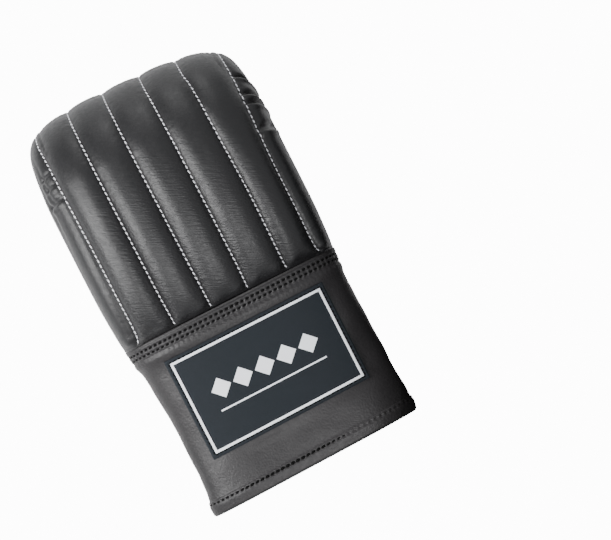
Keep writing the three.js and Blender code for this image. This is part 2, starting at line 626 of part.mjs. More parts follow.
// Gore at the top of the slit, a kite-like patch. left and right: its sides across, as shares of its
// width from its tip.
const goreRows = [
  { at: 0.0, left: -0.28, right: 0.22 },
  { at: 0.3, left: -0.25, right: 0.42 },
  { at: 0.72, left: -0.18, right: 0.72 },
  { at: 1.0, left: -0.06, right: 0.06 },
];
const goreTrack = tracksOf(goreRows);
const goreFoot = flapTopHeight + flapCornerRise + sewnGap * 2;
const goreStations = [0, 0.18, 0.36, 0.54, 0.72, 0.86, 1];
const goreShares = [0, 0.33, 0.67, 1];
const gorePoint = (share, along, out) => {
  const s = goreFoot + along * goreLength;
  const x = slitOffset + goreWidth * mix(goreTrack.left(along), goreTrack.right(along), share);
  return palmPoint(palmAngleAt(x, s, out), s, out);
};
addPiece("slit_gore", sheetSolid(
  grid(goreStations, goreShares, (share, along) => gorePoint(share, along, laidGap + goreThickness)),
  grid(goreStations, goreShares, (share, along) => gorePoint(share, along, laidGap)),
), leather);

// Wrist elastic, stretched over the flap from side seam to side seam and flat where the glove rests on it
const elasticAngles = anglesAcross(palmRound, palmFlat, 8, palmBends);
const elasticStations = [0, 0.33, 0.67, 1].map((share) => elasticHeight + share * elasticWidth);
const elasticInside = laidGap + flapLeather + laidGap / 2;
const onFloor = (point) => new THREE.Vector3(point.x, point.y, Math.max(0, point.z));
addPiece("wrist_elastic", sheetSolid(
  grid(elasticStations, elasticAngles, (angle, s) => (
    onFloor(palmPoint(angle, s, elasticInside + elasticThickness))
  )),
  grid(elasticStations, elasticAngles, (angle, s) => palmPoint(angle, s, elasticInside)),
), elasticWeave);

// Label, sewn flat on the cuff's back
const labelFoot = cuffLength - labelSeamDistance - labelLength;
const labelShares = Array.from({ length: 11 }, (_, i) => (i - 5) / 5);
const labelStations = [0, 0.25, 0.5, 0.75, 1].map((share) => labelFoot + share * labelLength);
const labelPoint = (share, s, out) => {
  const x = labelOffset + (share * labelWidth) / 2;
  const across = (x - tubeMiddle(s)) / (tubeHalfWidth(s) + out);
  return cuffPoint(angleOfShare(across, cuffRound), s, out);
};
addPiece("cuff_label", sheetSolid(
  grid(labelStations, labelShares, (share, s) => labelPoint(share, s, laidGap + labelThickness)),
  grid(labelStations, labelShares, (share, s) => labelPoint(share, s, laidGap)),
), labelWeave);

// Both ends are cut askew: the little finger's side is a little longer at the finger end and at the hem
const skewRun = gloveLength * 0.36;
const easeIn = (share) => clamp(share, 0, 1) ** 2 * (3 - 2 * clamp(share, 0, 1));
for (const piece of glove.children) {
  const place = piece.geometry.getAttribute("position");
  for (let i = 0; i < place.count; i += 1) {
    const s = place.getY(i);
    const atFingers = fingerEndSkew * easeIn((s - gloveLength + skewRun) / skewRun);
    const atHem = hemSkew * easeIn(1 - s / skewRun);
    place.setY(i, s - (place.getX(i) / padWidth) * (atFingers - atHem));
  }
  piece.geometry.computeVertexNormals();
}

// The origin goes to the middle of the footprint, on the floor
const footprint = new THREE.Box3().setFromObject(glove);
const middle = footprint.getCenter(new THREE.Vector3());
glove.position.set(-middle.x, -middle.y, -footprint.min.z);

export default glove;
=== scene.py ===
# %% [markdown]
# # A bag glove, lying palm down
#
# This lesson dresses a plain frame of solids as a left-hand bag glove: a channelled foam pad over the
# back of the hand, a leather palm with a sewn-on thumb, and an elastic wrist. The frame gives the place
# and the size of every piece, and each cell puts one real piece or one real finish on it.
#
# The glove lies on the table with its palm down. X runs across the hand, with the thumb at +X, Y runs
# from the wrist hem to the finger end, and Z is up.

# %% Load the frame
import bisect
import functools
import math

import bmesh
import bpy
from mathutils import Matrix, Vector, noise


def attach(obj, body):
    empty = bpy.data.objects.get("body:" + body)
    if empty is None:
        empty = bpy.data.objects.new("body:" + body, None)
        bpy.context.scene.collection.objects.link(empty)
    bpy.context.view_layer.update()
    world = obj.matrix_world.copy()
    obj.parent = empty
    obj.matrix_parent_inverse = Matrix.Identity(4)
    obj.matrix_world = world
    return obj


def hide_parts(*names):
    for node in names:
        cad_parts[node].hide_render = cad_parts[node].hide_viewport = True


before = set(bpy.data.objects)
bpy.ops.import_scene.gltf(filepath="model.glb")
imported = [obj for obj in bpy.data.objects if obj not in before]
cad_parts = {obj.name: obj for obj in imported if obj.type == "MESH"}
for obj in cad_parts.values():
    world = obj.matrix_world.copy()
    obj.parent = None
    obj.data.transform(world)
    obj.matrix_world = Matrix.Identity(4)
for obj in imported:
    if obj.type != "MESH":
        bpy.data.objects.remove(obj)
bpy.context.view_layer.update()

print("frame nodes:", len(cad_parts))

# %% [markdown]
# ## The glove's own sizes
#
# A leather worker thinks in the sizes of the finished glove, so the lesson does too. Lengths are in
# millimetres and are measured from the wrist hem, and only the last step of each piece turns them into
# metres in the frame. Soft forms are drawn as a few sections with smooth curves between them, because
# leather over foam has no corners to copy.

# %% Sizes, in millimetres
MM = 0.001
GLOVE_LENGTH = 248
GLOVE_HEIGHT = 72
PAD_WIDTH = 138
CUFF_WIDTH = 129
CUFF_LENGTH = 107
FOAM = 24
SIDE_FOAM = 9
CHANNEL_DEPTH = 4.5
CHANNELS = 5
CUFF_WALL = 3
PALM_LEATHER = 2
FLAP_LEATHER = 1.6
THUMB_LEATHER = 1.8
ROLL_REACH = 41
ROLL_INSET = 7
GUSSET_WIDTH = 10
THUMB_WIDTH = 54
ELASTIC_WIDTH = 40
ELASTIC_THICKNESS = 1.4
ELASTIC_SPAN = 150
ELASTIC_HEIGHT = 45
LABEL_WIDTH = 102
LABEL_LENGTH = 62.5
LABEL_FOOT = 30
LABEL_OFFSET = 1.5
LABEL_THICKNESS = 0.9
SLIT = -4.6
SLIT_OVERLAP = 19
FLAP_TOP = 91
FLAP_HEM = 8.5
PALM_HEM = 4.5
SEWN_GAP = 0.3
LAID_GAP = 0.5
WRIST_LAYERS = LAID_GAP + FLAP_LEATHER + LAID_GAP / 2 + ELASTIC_THICKNESS
PALM_SEAM = GLOVE_LENGTH - ROLL_REACH - GUSSET_WIDTH
HALF_PAD = PAD_WIDTH / 2
QUARTER_TURN = math.pi / 2
MIDDLE = 123.4177  # from the hem to the middle of the footprint, where the frame has its origin


# %% Smooth curves through small tables
def clamp(value, low=0.0, high=1.0):
    return min(high, max(low, value))


def mix(a, b, share):
    return a + (b - a) * share


def ease(share):
    share = clamp(share)
    return share * share * (3 - 2 * share)


def bump_at(value, middle, reach):
    """A bell of height 1 at the middle that has nearly died away two reaches from it."""
    return math.exp(-(((value - middle) / reach) ** 2))


def track(places, values):
    """A smooth curve through one column of a table that never overshoots a row."""
    steps = list(zip(places, places[1:], values, values[1:]))
    slopes = [(b - a) / (q - p) for p, q, a, b in steps]
    before = [slopes[0]] + slopes
    after = slopes + [slopes[-1]]
    tangents = [0 if m * n <= 0 else 2 * m * n / (m + n) for m, n in zip(before, after)]

    @functools.lru_cache(maxsize=8192)
    def value_at(place):
        place = clamp(place, places[0], places[-1])
        i = bisect.bisect_left(places, place, 1, len(places) - 1) - 1
        span = places[i + 1] - places[i]
        t = (place - places[i]) / span
        rise = (1 - t) * (1 - t) * t * span * tangents[i]
        fall = (1 - t) * t * t * span * tangents[i + 1]
        return mix(values[i], values[i + 1], t * t * (3 - 2 * t)) + rise - fall

    return value_at


def tracks(names, rows):
    """Every named column of a table as such a curve; the first column places the rows."""
    places = [row[0] for row in rows]
    return {name: track(places, [row[k + 1] for row in rows]) for k, name in enumerate(names.split())}


# %% [markdown]
# ## The hand tube
#
# Cuff and palm together are a flattened tube round the hand. Its cross-section is half an oval above
# the side seams and half a squarer oval below them. The table says how high, how wide and how far
# aside the tube lies along its length: drawn in at the wrist, and full width under the knuckles.

# %% The tube's sections
TUBE = tracks("seam palm crown wide tuck sway", [
    (0.0, 0.264, 0.0, 0.53, 0.44, 1.0, 0.012),
    (0.12, 0.27, 0.0, 0.545, 0.05, 1.0, 0.02),
    (0.24, 0.278, 0.0, 0.59, 0.05, 1.0, 0.017),
    (0.345, 0.295, 0.002, 0.64, 0.2, 0.95, 0.009),
    (0.4, 0.31, 0.055, 0.675, 0.45, 0.7, 0.002),
    (0.465, 0.34, 0.135, 0.7, 0.62, 0.35, 0.0),
    (0.545, 0.38, 0.2, 0.7, 0.82, 0.1, 0.0),
    (0.65, 0.41, 0.235, 0.7, 1.0, 0.0, 0.0),
    (0.795, 0.417, 0.255, 0.7, 1.0, 0.0, 0.0),
    (0.855, 0.408, 0.27, 0.7, 0.9, 0.0, 0.0),
    (0.91, 0.385, 0.285, 0.7, 0.0, 0.0, 0.0),
])
PAD_ROUND, LINING_ROUND, CUFF_ROUND, PALM_ROUND = 3.2, 2.6, 2.6, 4.5
PALM_DENTS = [  # across, along, wide, long, deep
    (-0.56, 0.7, 0.3, 0.05, 0.9),
    (-0.12, 0.67, 0.16, 0.06, 0.8),
    (-0.5, 0.52, 0.34, 0.035, 0.9),
    (0.72, 0.72, 0.16, 0.06, 0.6),
]


def seam_height(s):
    return GLOVE_HEIGHT * TUBE["seam"](s / GLOVE_LENGTH)


def palm_height(s):
    return WRIST_LAYERS - 0.15 + GLOVE_HEIGHT * TUBE["palm"](s / GLOVE_LENGTH)


def crown_height(s):
    return GLOVE_HEIGHT * TUBE["crown"](s / GLOVE_LENGTH)


def half_width(s):
    return mix(CUFF_WIDTH, PAD_WIDTH, TUBE["wide"](s / GLOVE_LENGTH)) / 2


def middle_at(s):
    return PAD_WIDTH * TUBE["sway"](s / GLOVE_LENGTH)


def palm_half_width(s):
    return half_width(s) - TUBE["tuck"](s / GLOVE_LENGTH) * (WRIST_LAYERS + SEWN_GAP)


def across_share(angle, roundness):
    """How far across an oval an angle from -90 to 90 degrees lies, from -1 to 1."""
    return math.copysign(abs(math.sin(angle)) ** (2 / roundness), math.sin(angle))


def depth_share(angle, roundness):
    return max(0.0, math.cos(angle)) ** (2 / roundness)


def angle_of(share, roundness):
    return math.copysign(math.asin(min(1, abs(share)) ** (roundness / 2)), share)


def palm_dent(x, s):
    return sum(
        PALM_LEATHER * deep * bump_at(x / HALF_PAD, across, wide) * bump_at(s / GLOVE_LENGTH, along, long)
        for across, along, wide, long, deep in PALM_DENTS
    )


def cuff_point(angle, s, out):
    """A point on the cuff's back, "out" millimetres outside its leather."""
    base = seam_height(s) + SEWN_GAP
    x = middle_at(s) + (half_width(s) + out) * across_share(angle, CUFF_ROUND)
    return Vector((x, s, base + (crown_height(s) + out - base) * depth_share(angle, CUFF_ROUND)))


def palm_point(angle, s, out):
    """A point on the palm's leather, "out" millimetres below it."""
    base = seam_height(s) - SEWN_GAP
    x = middle_at(s) + (palm_half_width(s) + out) * across_share(angle, PALM_ROUND)
    drop = (base - palm_height(s) + out) * depth_share(angle, PALM_ROUND)
    return Vector((x, s, base - drop + palm_dent(x, s)))


def palm_angle_at(x, s, out):
    return angle_of((x - middle_at(s)) / (palm_half_width(s) + out), PALM_ROUND)


def palm_underside(x, s):
    return palm_point(palm_angle_at(x, s, 0), s, 0).z


print("cuff at the hem: %.0f mm wide" % (2 * half_width(0)))

# %% [markdown]
# ## From grid to leather
#
# Leather is a flat sheet before it is sewn, so every leather piece starts as a flat grid. A "place"
# function says where each point of the grid goes. To give the sheet its thickness, the whole grid is
# extruded once, and the copy is placed on the inner face. That closes the rim all round and keeps the
# two faces in step. Both ends of the real glove are cut a little askew, and the last step of each
# piece does that and moves it to the frame's origin.


# %% Grids, sheets and the last move
FINE_STEPS = 400


def run_along(points):
    """How far along a line of points each of them lies."""
    reach = [0.0]
    for a, b in zip(points, points[1:]):
        reach.append(reach[-1] + (b - a).length)
    return reach


def spot_at(reach, target):
    """Which step of such a line holds a distance along it, and how far into that step it lies."""
    i = min(max(1, bisect.bisect_left(reach, target)), len(reach) - 1)
    return i, clamp((target - reach[i - 1]) / max(1e-9, reach[i] - reach[i - 1]))


def even_steps(curve, low, high, count):
    """Values from low to high that are evenly spaced along a curve of points."""
    fine = [mix(low, high, k / FINE_STEPS) for k in range(FINE_STEPS + 1)]
    reach = run_along([curve(value) for value in fine])
    steps = []
    for k in range(count + 1):
        i, share = spot_at(reach, reach[-1] * k / count)
        steps.append(mix(fine[i - 1], fine[i], share))
    steps[0], steps[-1] = low, high
    return steps


def placed_grid(columns, rows, place):
    """A grid of columns by rows faces, its points moved by place(column, row). Each point keeps its
    column and row, and the grid keeps a UV map, so that later steps and finishes can read them."""
    bm = bmesh.new()
    uv = bm.loops.layers.uv.new("UVMap")
    for name in ("column", "row", "pull", "inside"):
        bm.verts.layers.float.new(name)
    column, row = (bm.verts.layers.float[name] for name in ("column", "row"))
    bmesh.ops.create_grid(bm, x_segments=columns, y_segments=rows, size=0.5)
    for vert in bm.verts:
        vert[column] = round((vert.co.x + 0.5) * columns)
        vert[row] = round((vert.co.y + 0.5) * rows)
        vert.co = place(int(vert[column]), int(vert[row]))
    for face in bm.faces:
        for loop in face.loops:
            loop[uv].uv = (loop.vert[column] / columns, loop.vert[row] / rows)
    return bm


def spots(bm):
    """Every point of a grid's outer face, with its column and row."""
    column, row, inside = (bm.verts.layers.float[name] for name in ("column", "row", "inside"))
    return [(vert, int(vert[column]), int(vert[row])) for vert in bm.verts if not vert[inside]]


def set_pull(bm, pull):
    """Says how strongly the seams gather the leather, from 0 to 1; pull(point, column, row)."""
    layer = bm.verts.layers.float["pull"]
    for vert, column, row in spots(bm):
        vert[layer] = clamp(pull(vert.co, column, row))


def thicken(bm, place):
    """Closes a placed grid to a sheet with two faces; place(column, row) is on its other face."""
    column, row, inside = (bm.verts.layers.float[name] for name in ("column", "row", "inside"))
    grown = bmesh.ops.extrude_face_region(bm, geom=bm.faces[:], use_keep_orig=True)["geom"]
    for vert in [item for item in grown if isinstance(item, bmesh.types.BMVert)]:
        vert.co = place(int(vert[column]), int(vert[row]))
        vert[inside] = 1
    bmesh.ops.recalc_face_normals(bm, faces=bm.faces[:])


TIP_SKEW, HEM_SKEW, SKEW_SHARE = 4, 3, 0.36  # millimetres across the pad, and the part of the length


def to_frame(point):
    """From the glove's own millimetres to the frame's metres, with both ends cut askew."""
    run = GLOVE_LENGTH * SKEW_SHARE
    skew = TIP_SKEW * ease((point.y - GLOVE_LENGTH + run) / run) - HEM_SKEW * ease(1 - point.y / run)
    return Vector((point.x, point.y - point.x / PAD_WIDTH * skew - MIDDLE, point.z)) * MM


def as_object(name, bm, sharp=40):
    """Makes the finished mesh an object, with smooth shading but for edges sharper than that."""
    for vert in bm.verts:
        vert.co = to_frame(vert.co)
    mesh = bpy.data.meshes.new(name)
    bm.to_mesh(mesh)
    bm.free()
    mesh.shade_smooth()
    mesh.set_sharp_from_angle(angle=math.radians(sharp))
    piece = bpy.data.objects.new(name, mesh)
    bpy.context.scene.collection.objects.link(piece)
    return piece


def dress(piece, node, material):
    """The piece takes the place of one solid of the frame, moves with the glove and gets its finish."""
    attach(piece, "root")
    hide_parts(node)
    piece.data.materials.append(material)
    print(f"{piece.name}: {len(piece.data.polygons)} faces, stands for {node}")


# %% [markdown]
# ## Small helpers for finishes
#
# A material is a graph of nodes. One function adds a node, sets its options and links its inputs, and
# another turns the hex colours that a designer reads off a swatch into the linear values that Blender
# works with.


# %% Node and colour helpers
def linear(colour):
    """An sRGB hex colour as linear red, green, blue and alpha."""
    parts = [int(colour[k:k + 2], 16) / 255 for k in (1, 3, 5)]
    return tuple(c / 12.92 if c <= 0.04045 else ((c + 0.055) / 1.055) ** 2.4 for c in parts) + (1.0,)


def add(tree, kind, settings=None, **inputs):
    """Adds a node. Settings are its own options; an input is a value, another node's output, or
    another node, which stands for its first output. _0 and _1 are inputs by number."""
    node = tree.nodes.new("ShaderNode" + kind)
    for name, value in (settings or {}).items():
        setattr(node, name, value)
    for name, value in inputs.items():
        socket = node.inputs[int(name[1:])] if name[1:].isdigit() else node.inputs[name.replace("_", " ")]
        if isinstance(value, bpy.types.Node):
            value = value.outputs[0]
        if isinstance(value, bpy.types.NodeSocket):
            tree.links.new(value, socket)
        else:
            socket.default_value = value
    return node


def new_material(name, **shader):
    """A material with its surface shader and its output."""
    material = bpy.data.materials.new(name)
    material.use_nodes = True
    tree = material.node_tree
    tree.nodes.clear()
    surface = add(tree, "BsdfPrincipled", **shader)
    add(tree, "OutputMaterial", Surface=surface.outputs["BSDF"])
    return material, tree, surface


# %% [markdown]
# ## Synthetic leather
#
# The glove is made of PU-coated leather cloth, embossed with a fine pebble grain. Light shows three
# things on it: a soft black gloss, the grain, which breaks up that gloss, and small creases where a
# seam gathers it. Real grain is about 0.5 mm, too fine for this picture, so it is drawn about twice as
# coarse and shallow. The creases only show where the piece's own "pull" attribute is high.


# %% Leather finish
CREASE_PITCH, CREASE_LENGTH = 0.9, 8.0  # millimetres; the real ones are nearer 0.6 apart
CREASE_SLANT = math.radians(-27)
CLOUD = 38  # millimetres from one worn patch to the next


def leather(name, colour, worn, roughness, grain, depth, crease, ior=1.5):
    """Embossed synthetic leather. grain and depth in millimetres: the size and height of its pebbles;
    crease: the height of the creases at its seams."""
    material, tree, surface = new_material(name, Roughness=roughness, IOR=ior)
    where = add(tree, "TexCoord").outputs["Object"]
    pebbles = add(tree, "TexVoronoi", {"feature": "SMOOTH_F1"}, Vector=where, Scale=1 / (grain * MM))
    skin = add(tree, "TexNoise", Vector=where, Scale=1 / (grain * 2.6 * MM), Detail=3.0)
    cloud = add(tree, "TexNoise", Vector=where, Scale=1 / (CLOUD * MM), Detail=4.0, Roughness=0.6)
    shade = add(tree, "Mix", {"data_type": "RGBA"}, _0=cloud.outputs["Fac"],
                _6=linear(colour), _7=linear(worn))
    tree.links.new(shade.outputs[2], surface.inputs["Base Color"])
    gloss = add(tree, "MapRange", Value=skin.outputs["Fac"], From_Min=0.3, From_Max=0.7,
                To_Min=roughness - 0.05, To_Max=roughness + 0.07)
    tree.links.new(gloss.outputs["Result"], surface.inputs["Roughness"])
    height = add(tree, "Math", {"operation": "MULTIPLY_ADD"}, _0=skin.outputs["Fac"], _1=0.6,
                 _2=pebbles.outputs["Distance"])
    relief = add(tree, "Bump", Strength=1.0, Distance=depth * MM, Height=height.outputs["Value"])
    slanted = add(tree, "Mapping", {"vector_type": "TEXTURE"}, Vector=where,
                  Rotation=(0.0, 0.0, CREASE_SLANT), Scale=(CREASE_LENGTH / CREASE_PITCH, 1.0, 1.0))
    lines = add(tree, "TexNoise", Vector=slanted, Scale=1 / (CREASE_PITCH * MM), Detail=1.0)
    pull = add(tree, "Attribute", {"attribute_name": "pull"})
    folds = add(tree, "Math", {"operation": "MULTIPLY"}, _0=lines.outputs["Fac"], _1=pull.outputs["Fac"])
    creased = add(tree, "Bump", Strength=1.0, Distance=crease * MM, Height=folds, Normal=relief)
    tree.links.new(creased.outputs["Normal"], surface.inputs["Normal"])
    return material


pad_skin = leather("pad PU leather", "#101011", "#171618", 0.42, 0.9, 0.05, crease=0.34)
cuff_skin = leather("cuff PU leather", "#222122", "#2d2b2c", 0.42, 1.1, 0.14, crease=0.2, ior=1.4)
palm_skin = leather("palm PU leather", "#0f0f10", "#161517", 0.4, 0.9, 0.06, crease=0.3)
print("leathers:", pad_skin.name, "/", cuff_skin.name, "/", palm_skin.name)

# %% [markdown]
# ## Thread
#
# The seams are sewn with twisted polyester thread, white on the pad's channels and black elsewhere.
# Each stitch shows as a short slanted bead between two needle holes. The thread is matt, because light
# is lost between its fibres. A row of stitches is one small bead, copied along a line on the leather and
# half sunk into it. The real beads could be modelled as twisted curves, but at this size nothing of the
# twist shows except a fine relief.


# %% Thread and stitch rows
THREAD_TWIST = 0.35  # millimetres from one turn of the twist to the next
WAVE_PERIOD = 0.1 * math.pi  # the length after which Blender's wave texture of scale 1 repeats
STITCH_HEIGHT = 0.42  # of a bead's width, from its middle to its top
STITCHES = {  # pitch, length and width in millimetres, slant in degrees, lift as a share of the width
    "channel": (3.1, 2.5, 0.88, 12, 0.22),
    "finger end": (3.1, 2.4, 0.85, 10, 0.3),
    "cuff": (3.3, 2.8, 1.5, 14, 0.05),
    "label": (2.9, 2.2, 0.8, 6, 0.15),
    "palm": (3.2, 2.4, 0.8, 6, 0.15),
    "gore": (2.6, 2.0, 0.75, 4, 0.15),
    "thumb": (3.0, 2.3, 0.85, 6, 0.1),
}


def thread(name, colour, roughness, gloss, sheen):
    """Twisted polyester thread."""
    material, tree, surface = new_material(
        name, Base_Color=linear(colour), Roughness=roughness, IOR=1.5, Specular_IOR_Level=gloss,
        Sheen_Weight=sheen, Sheen_Roughness=0.4)
    where = add(tree, "TexCoord").outputs["Object"]
    twist = add(tree, "TexWave", {"bands_direction": "DIAGONAL"}, Vector=where,
                Scale=WAVE_PERIOD / (THREAD_TWIST * MM), Distortion=1.5, Detail=1.0)
    relief = add(tree, "Bump", Strength=1.0, Distance=0.05 * MM, Height=twist.outputs["Fac"])
    tree.links.new(relief.outputs["Normal"], surface.inputs["Normal"])
    return material


white_thread = thread("white polyester thread", "#f2f2f6", 0.5, gloss=0.5, sheen=0.3)
black_thread = thread("black polyester thread", "#050505", 0.8, gloss=0.12, sheen=0.0)


def sew(bm, path, normals, kind):
    """Sets a kind of stitch along a path of points, given with the leather's normals."""
    pitch, length, width, slant, lift = STITCHES[kind]
    reach = run_along(path)
    count = int(reach[-1] / pitch)
    for k in range(count):
        i, share = spot_at(reach, (k + 0.5) * reach[-1] / count)
        up = normals[i - 1].lerp(normals[i], share).normalized()
        along = path[min(i + 1, len(path) - 1)] - path[max(0, i - 2)]
        along = (along - up * along.dot(up)).normalized()
        along = Matrix.Rotation(math.radians(slant), 3, up) @ along
        side = up.cross(along)
        axes = Matrix((along * length / 2, side * width / 2, up * width * STITCH_HEIGHT)).transposed()
        bead = Matrix.Translation(path[i - 1].lerp(path[i], share) + up * width * lift) @ axes.to_4x4()
        bmesh.ops.create_uvsphere(bm, u_segments=6, v_segments=5, radius=1,
                                  matrix=bead @ Matrix.Rotation(QUARTER_TURN, 4, "Y"))
    return count


def surface_line(place, spots, step=0.4, outside=1):
    """Points and outward normals along a list of spots (a, b) on a surface place(a, b). outside is -1
    where the surface runs so that its normals would point inwards."""
    points, normals = [], []
    for a, b in spots:
        across = place(a + step, b) - place(a - step, b)
        along = place(a, b + step) - place(a, b - step)
        points.append(place(a, b))
        normals.append(across.cross(along).normalized() * outside)
    return points, normals


def stitch_wave(curve, low, high, kind):
    """1 at each stitch that sew() sets along a curve and 0 halfway between, for the leather's dimples."""
    ats = [mix(low, high, k / FINE_STEPS) for k in range(FINE_STEPS + 1)]
    reach = run_along([curve(at) for at in ats])
    run = track(ats, reach)
    count = int(reach[-1] / STITCHES[kind][0])
    return lambda at: 0.5 - 0.5 * math.cos(2 * math.pi * count * run(at) / reach[-1])


white_rows = bmesh.new()
black_rows = bmesh.new()
print("kinds of stitch:", ", ".join(STITCHES))

# %% [markdown]
# ## The striking pad
#
# Foam under leather, sewn through along six lines, makes five channels. The cover is first drawn
# plainly over the foam. Then cloth simulation blows it up between its seams and stitch lines, which are
# pinned, so that each channel swells as a sewn cover does. The trenches of the stitch lines, the puckers
# beside them and the gathers at the finger bend are worked into the blown cover last, because they are
# finer than the simulated cloth.

# %% The pad's sections
PAD = tracks("crest_y crest_z edge_y wide foam groove", [
    (0.0, 0.0, 0.69, 0.0, 0.975, 0.55, 0.0),
    (0.05, 0.035, 0.795, 0.035, 0.985, 0.82, 0.85),
    (0.112, 0.105, 0.868, 0.1, 0.992, 0.92, 1.0),
    (0.217, 0.235, 0.94, 0.22, 1.0, 1.0, 1.0),
    (0.343, 0.39, 0.986, 0.362, 1.0, 1.0, 1.0),
    (0.472, 0.553, 1.0, 0.503, 1.0, 1.0, 0.82),
    (0.59, 0.7, 0.975, 0.624, 1.0, 1.0, 0.66),
    (0.697, 0.83, 0.885, 0.702, 0.99, 1.0, 0.55),
    (0.796, 0.924, 0.735, 0.758, 0.98, 1.0, 0.48),
    (0.885, 0.983, 0.553, 0.794, 0.965, 0.98, 0.42),
    (0.949, 1.0, 0.403, 0.815, 0.95, 0.95, 0.3),
    (1.0, 0.988, 0.285, 0.829, 0.93, 0.86, 0.2),
])
PAD_LENGTH = GLOVE_LENGTH - CUFF_LENGTH
CHANNEL_WIDTH = 23.2
STITCH_LINES = tracks("0 1 2 3 4 5", [  # along the pad, then how far across each line lies, in mm
    (0.0, -58.4, -33.6, -10.3, 13.0, 38.3, 60.0),
    (0.14, -58.5, -34.3, -10.4, 13.8, 39.0, 61.2),
    (0.3, -58.5, -34.4, -10.6, 13.8, 39.4, 61.6),
    (0.53, -58.3, -34.5, -10.9, 13.5, 38.2, 61.9),
    (0.655, -58.4, -34.5, -11.1, 13.0, 37.5, 62.0),
    (0.745, -58.5, -34.6, -11.2, 12.5, 36.6, 61.7),
    (0.8, -58.4, -34.7, -11.4, 12.0, 35.3, 60.6),
    (1.0, -57.0, -34.5, -11.5, 11.6, 34.6, 58.5),
])


def pad_crest(at):
    return Vector((0, CUFF_LENGTH + SEWN_GAP + PAD["crest_y"](at) * (PAD_LENGTH - SEWN_GAP),
                   GLOVE_HEIGHT * PAD["crest_z"](at)))


def pad_edge(at):
    s = CUFF_LENGTH + SEWN_GAP + PAD["edge_y"](at) * (PAD_LENGTH - SEWN_GAP)
    return Vector((0, s, seam_height(s) + SEWN_GAP))


@functools.lru_cache(maxsize=4096)
def lines_at(at):
    return tuple(STITCH_LINES[str(k)](at) for k in range(CHANNELS + 1))


def channel_dip(x, half, at):
    """1 on a stitch line and 0 on the crown of a channel."""
    lines = lines_at(at)
    if x < lines[0]:
        away = (lines[0] - x) / (half + lines[0])
    elif x > lines[-1]:
        away = (x - lines[-1]) / (half - lines[-1])
    else:
        k = min(bisect.bisect_right(lines, x), CHANNELS)
        away = 2 * min(x - lines[k - 1], lines[k] - x) / (lines[k] - lines[k - 1])
    return (1 - clamp(away * 1.15)) ** 2.2


def pad_point(angle, at):
    crest, edge = pad_crest(at), pad_edge(at)
    up = crest - edge
    depth = up.length
    up.normalize()
    half = HALF_PAD * PAD["wide"](at)
    share, rise = across_share(angle, PAD_ROUND), depth_share(angle, PAD_ROUND)
    lean = Vector((math.copysign(abs(share) ** (PAD_ROUND - 1), share) / half,
                   rise ** (PAD_ROUND - 1) / depth)).normalized()
    dip = CHANNEL_DEPTH * PAD["groove"](at) * channel_dip(half * share, half, at)
    point = edge + up * (depth * rise - dip * lean.y)
    point.x = half * share - dip * lean.x
    return point


def pad_lining(angle, at):
    crest, edge = pad_crest(at), pad_edge(at)
    up = crest - edge
    depth = max(SEWN_GAP * 10, up.length - FOAM * PAD["foam"](at))
    point = edge + up.normalized() * depth * depth_share(angle, LINING_ROUND)
    point.x = (HALF_PAD * PAD["wide"](at) - SIDE_FOAM) * across_share(angle, LINING_ROUND)
    return point


# %% Draw the cover
CHANNEL_COLUMNS = 20
SIDE_COLUMNS = 20
PAD_ROWS = 96
flat_columns = CHANNELS * CHANNEL_COLUMNS
PAD_COLUMNS = flat_columns + 2 * SIDE_COLUMNS
pad_ats = even_steps(lambda at: pad_point(0, at), 0, 1, PAD_ROWS)


def line_angle(x, at):
    return angle_of(x / (HALF_PAD * PAD["wide"](at)), PAD_ROUND)


WALL_AT = 0.45  # along the pad, where the side wall is stepped; the rest of it follows
first = line_angle(lines_at(WALL_AT)[-1], WALL_AT)
side_steps = even_steps(lambda share: pad_point(mix(first, QUARTER_TURN, share), WALL_AT),
                        0, 1, SIDE_COLUMNS)


def pad_angle(column, at):
    """Even steps from one outer stitch line to the other, and then down the side walls."""
    number, lines = column - SIDE_COLUMNS, lines_at(at)
    if number < 0:
        return mix(line_angle(lines[0], at), -QUARTER_TURN, side_steps[-number])
    if number >= flat_columns:
        return mix(line_angle(lines[-1], at), QUARTER_TURN, side_steps[number - flat_columns])
    k, share = divmod(number, CHANNEL_COLUMNS)
    return line_angle(mix(lines[k], lines[k + 1], share / CHANNEL_COLUMNS), at)


cover = placed_grid(PAD_COLUMNS, PAD_ROWS, lambda i, j: pad_point(pad_angle(i, pad_ats[j]), pad_ats[j]))
print("drawn cover:", len(cover.faces), "faces")


# %% Blow it up between its seams
SOLVER_SCALE = MM * 10  # from millimetres to ten times life size, where the solver is steadier
SOLVER_FRAMES = 20


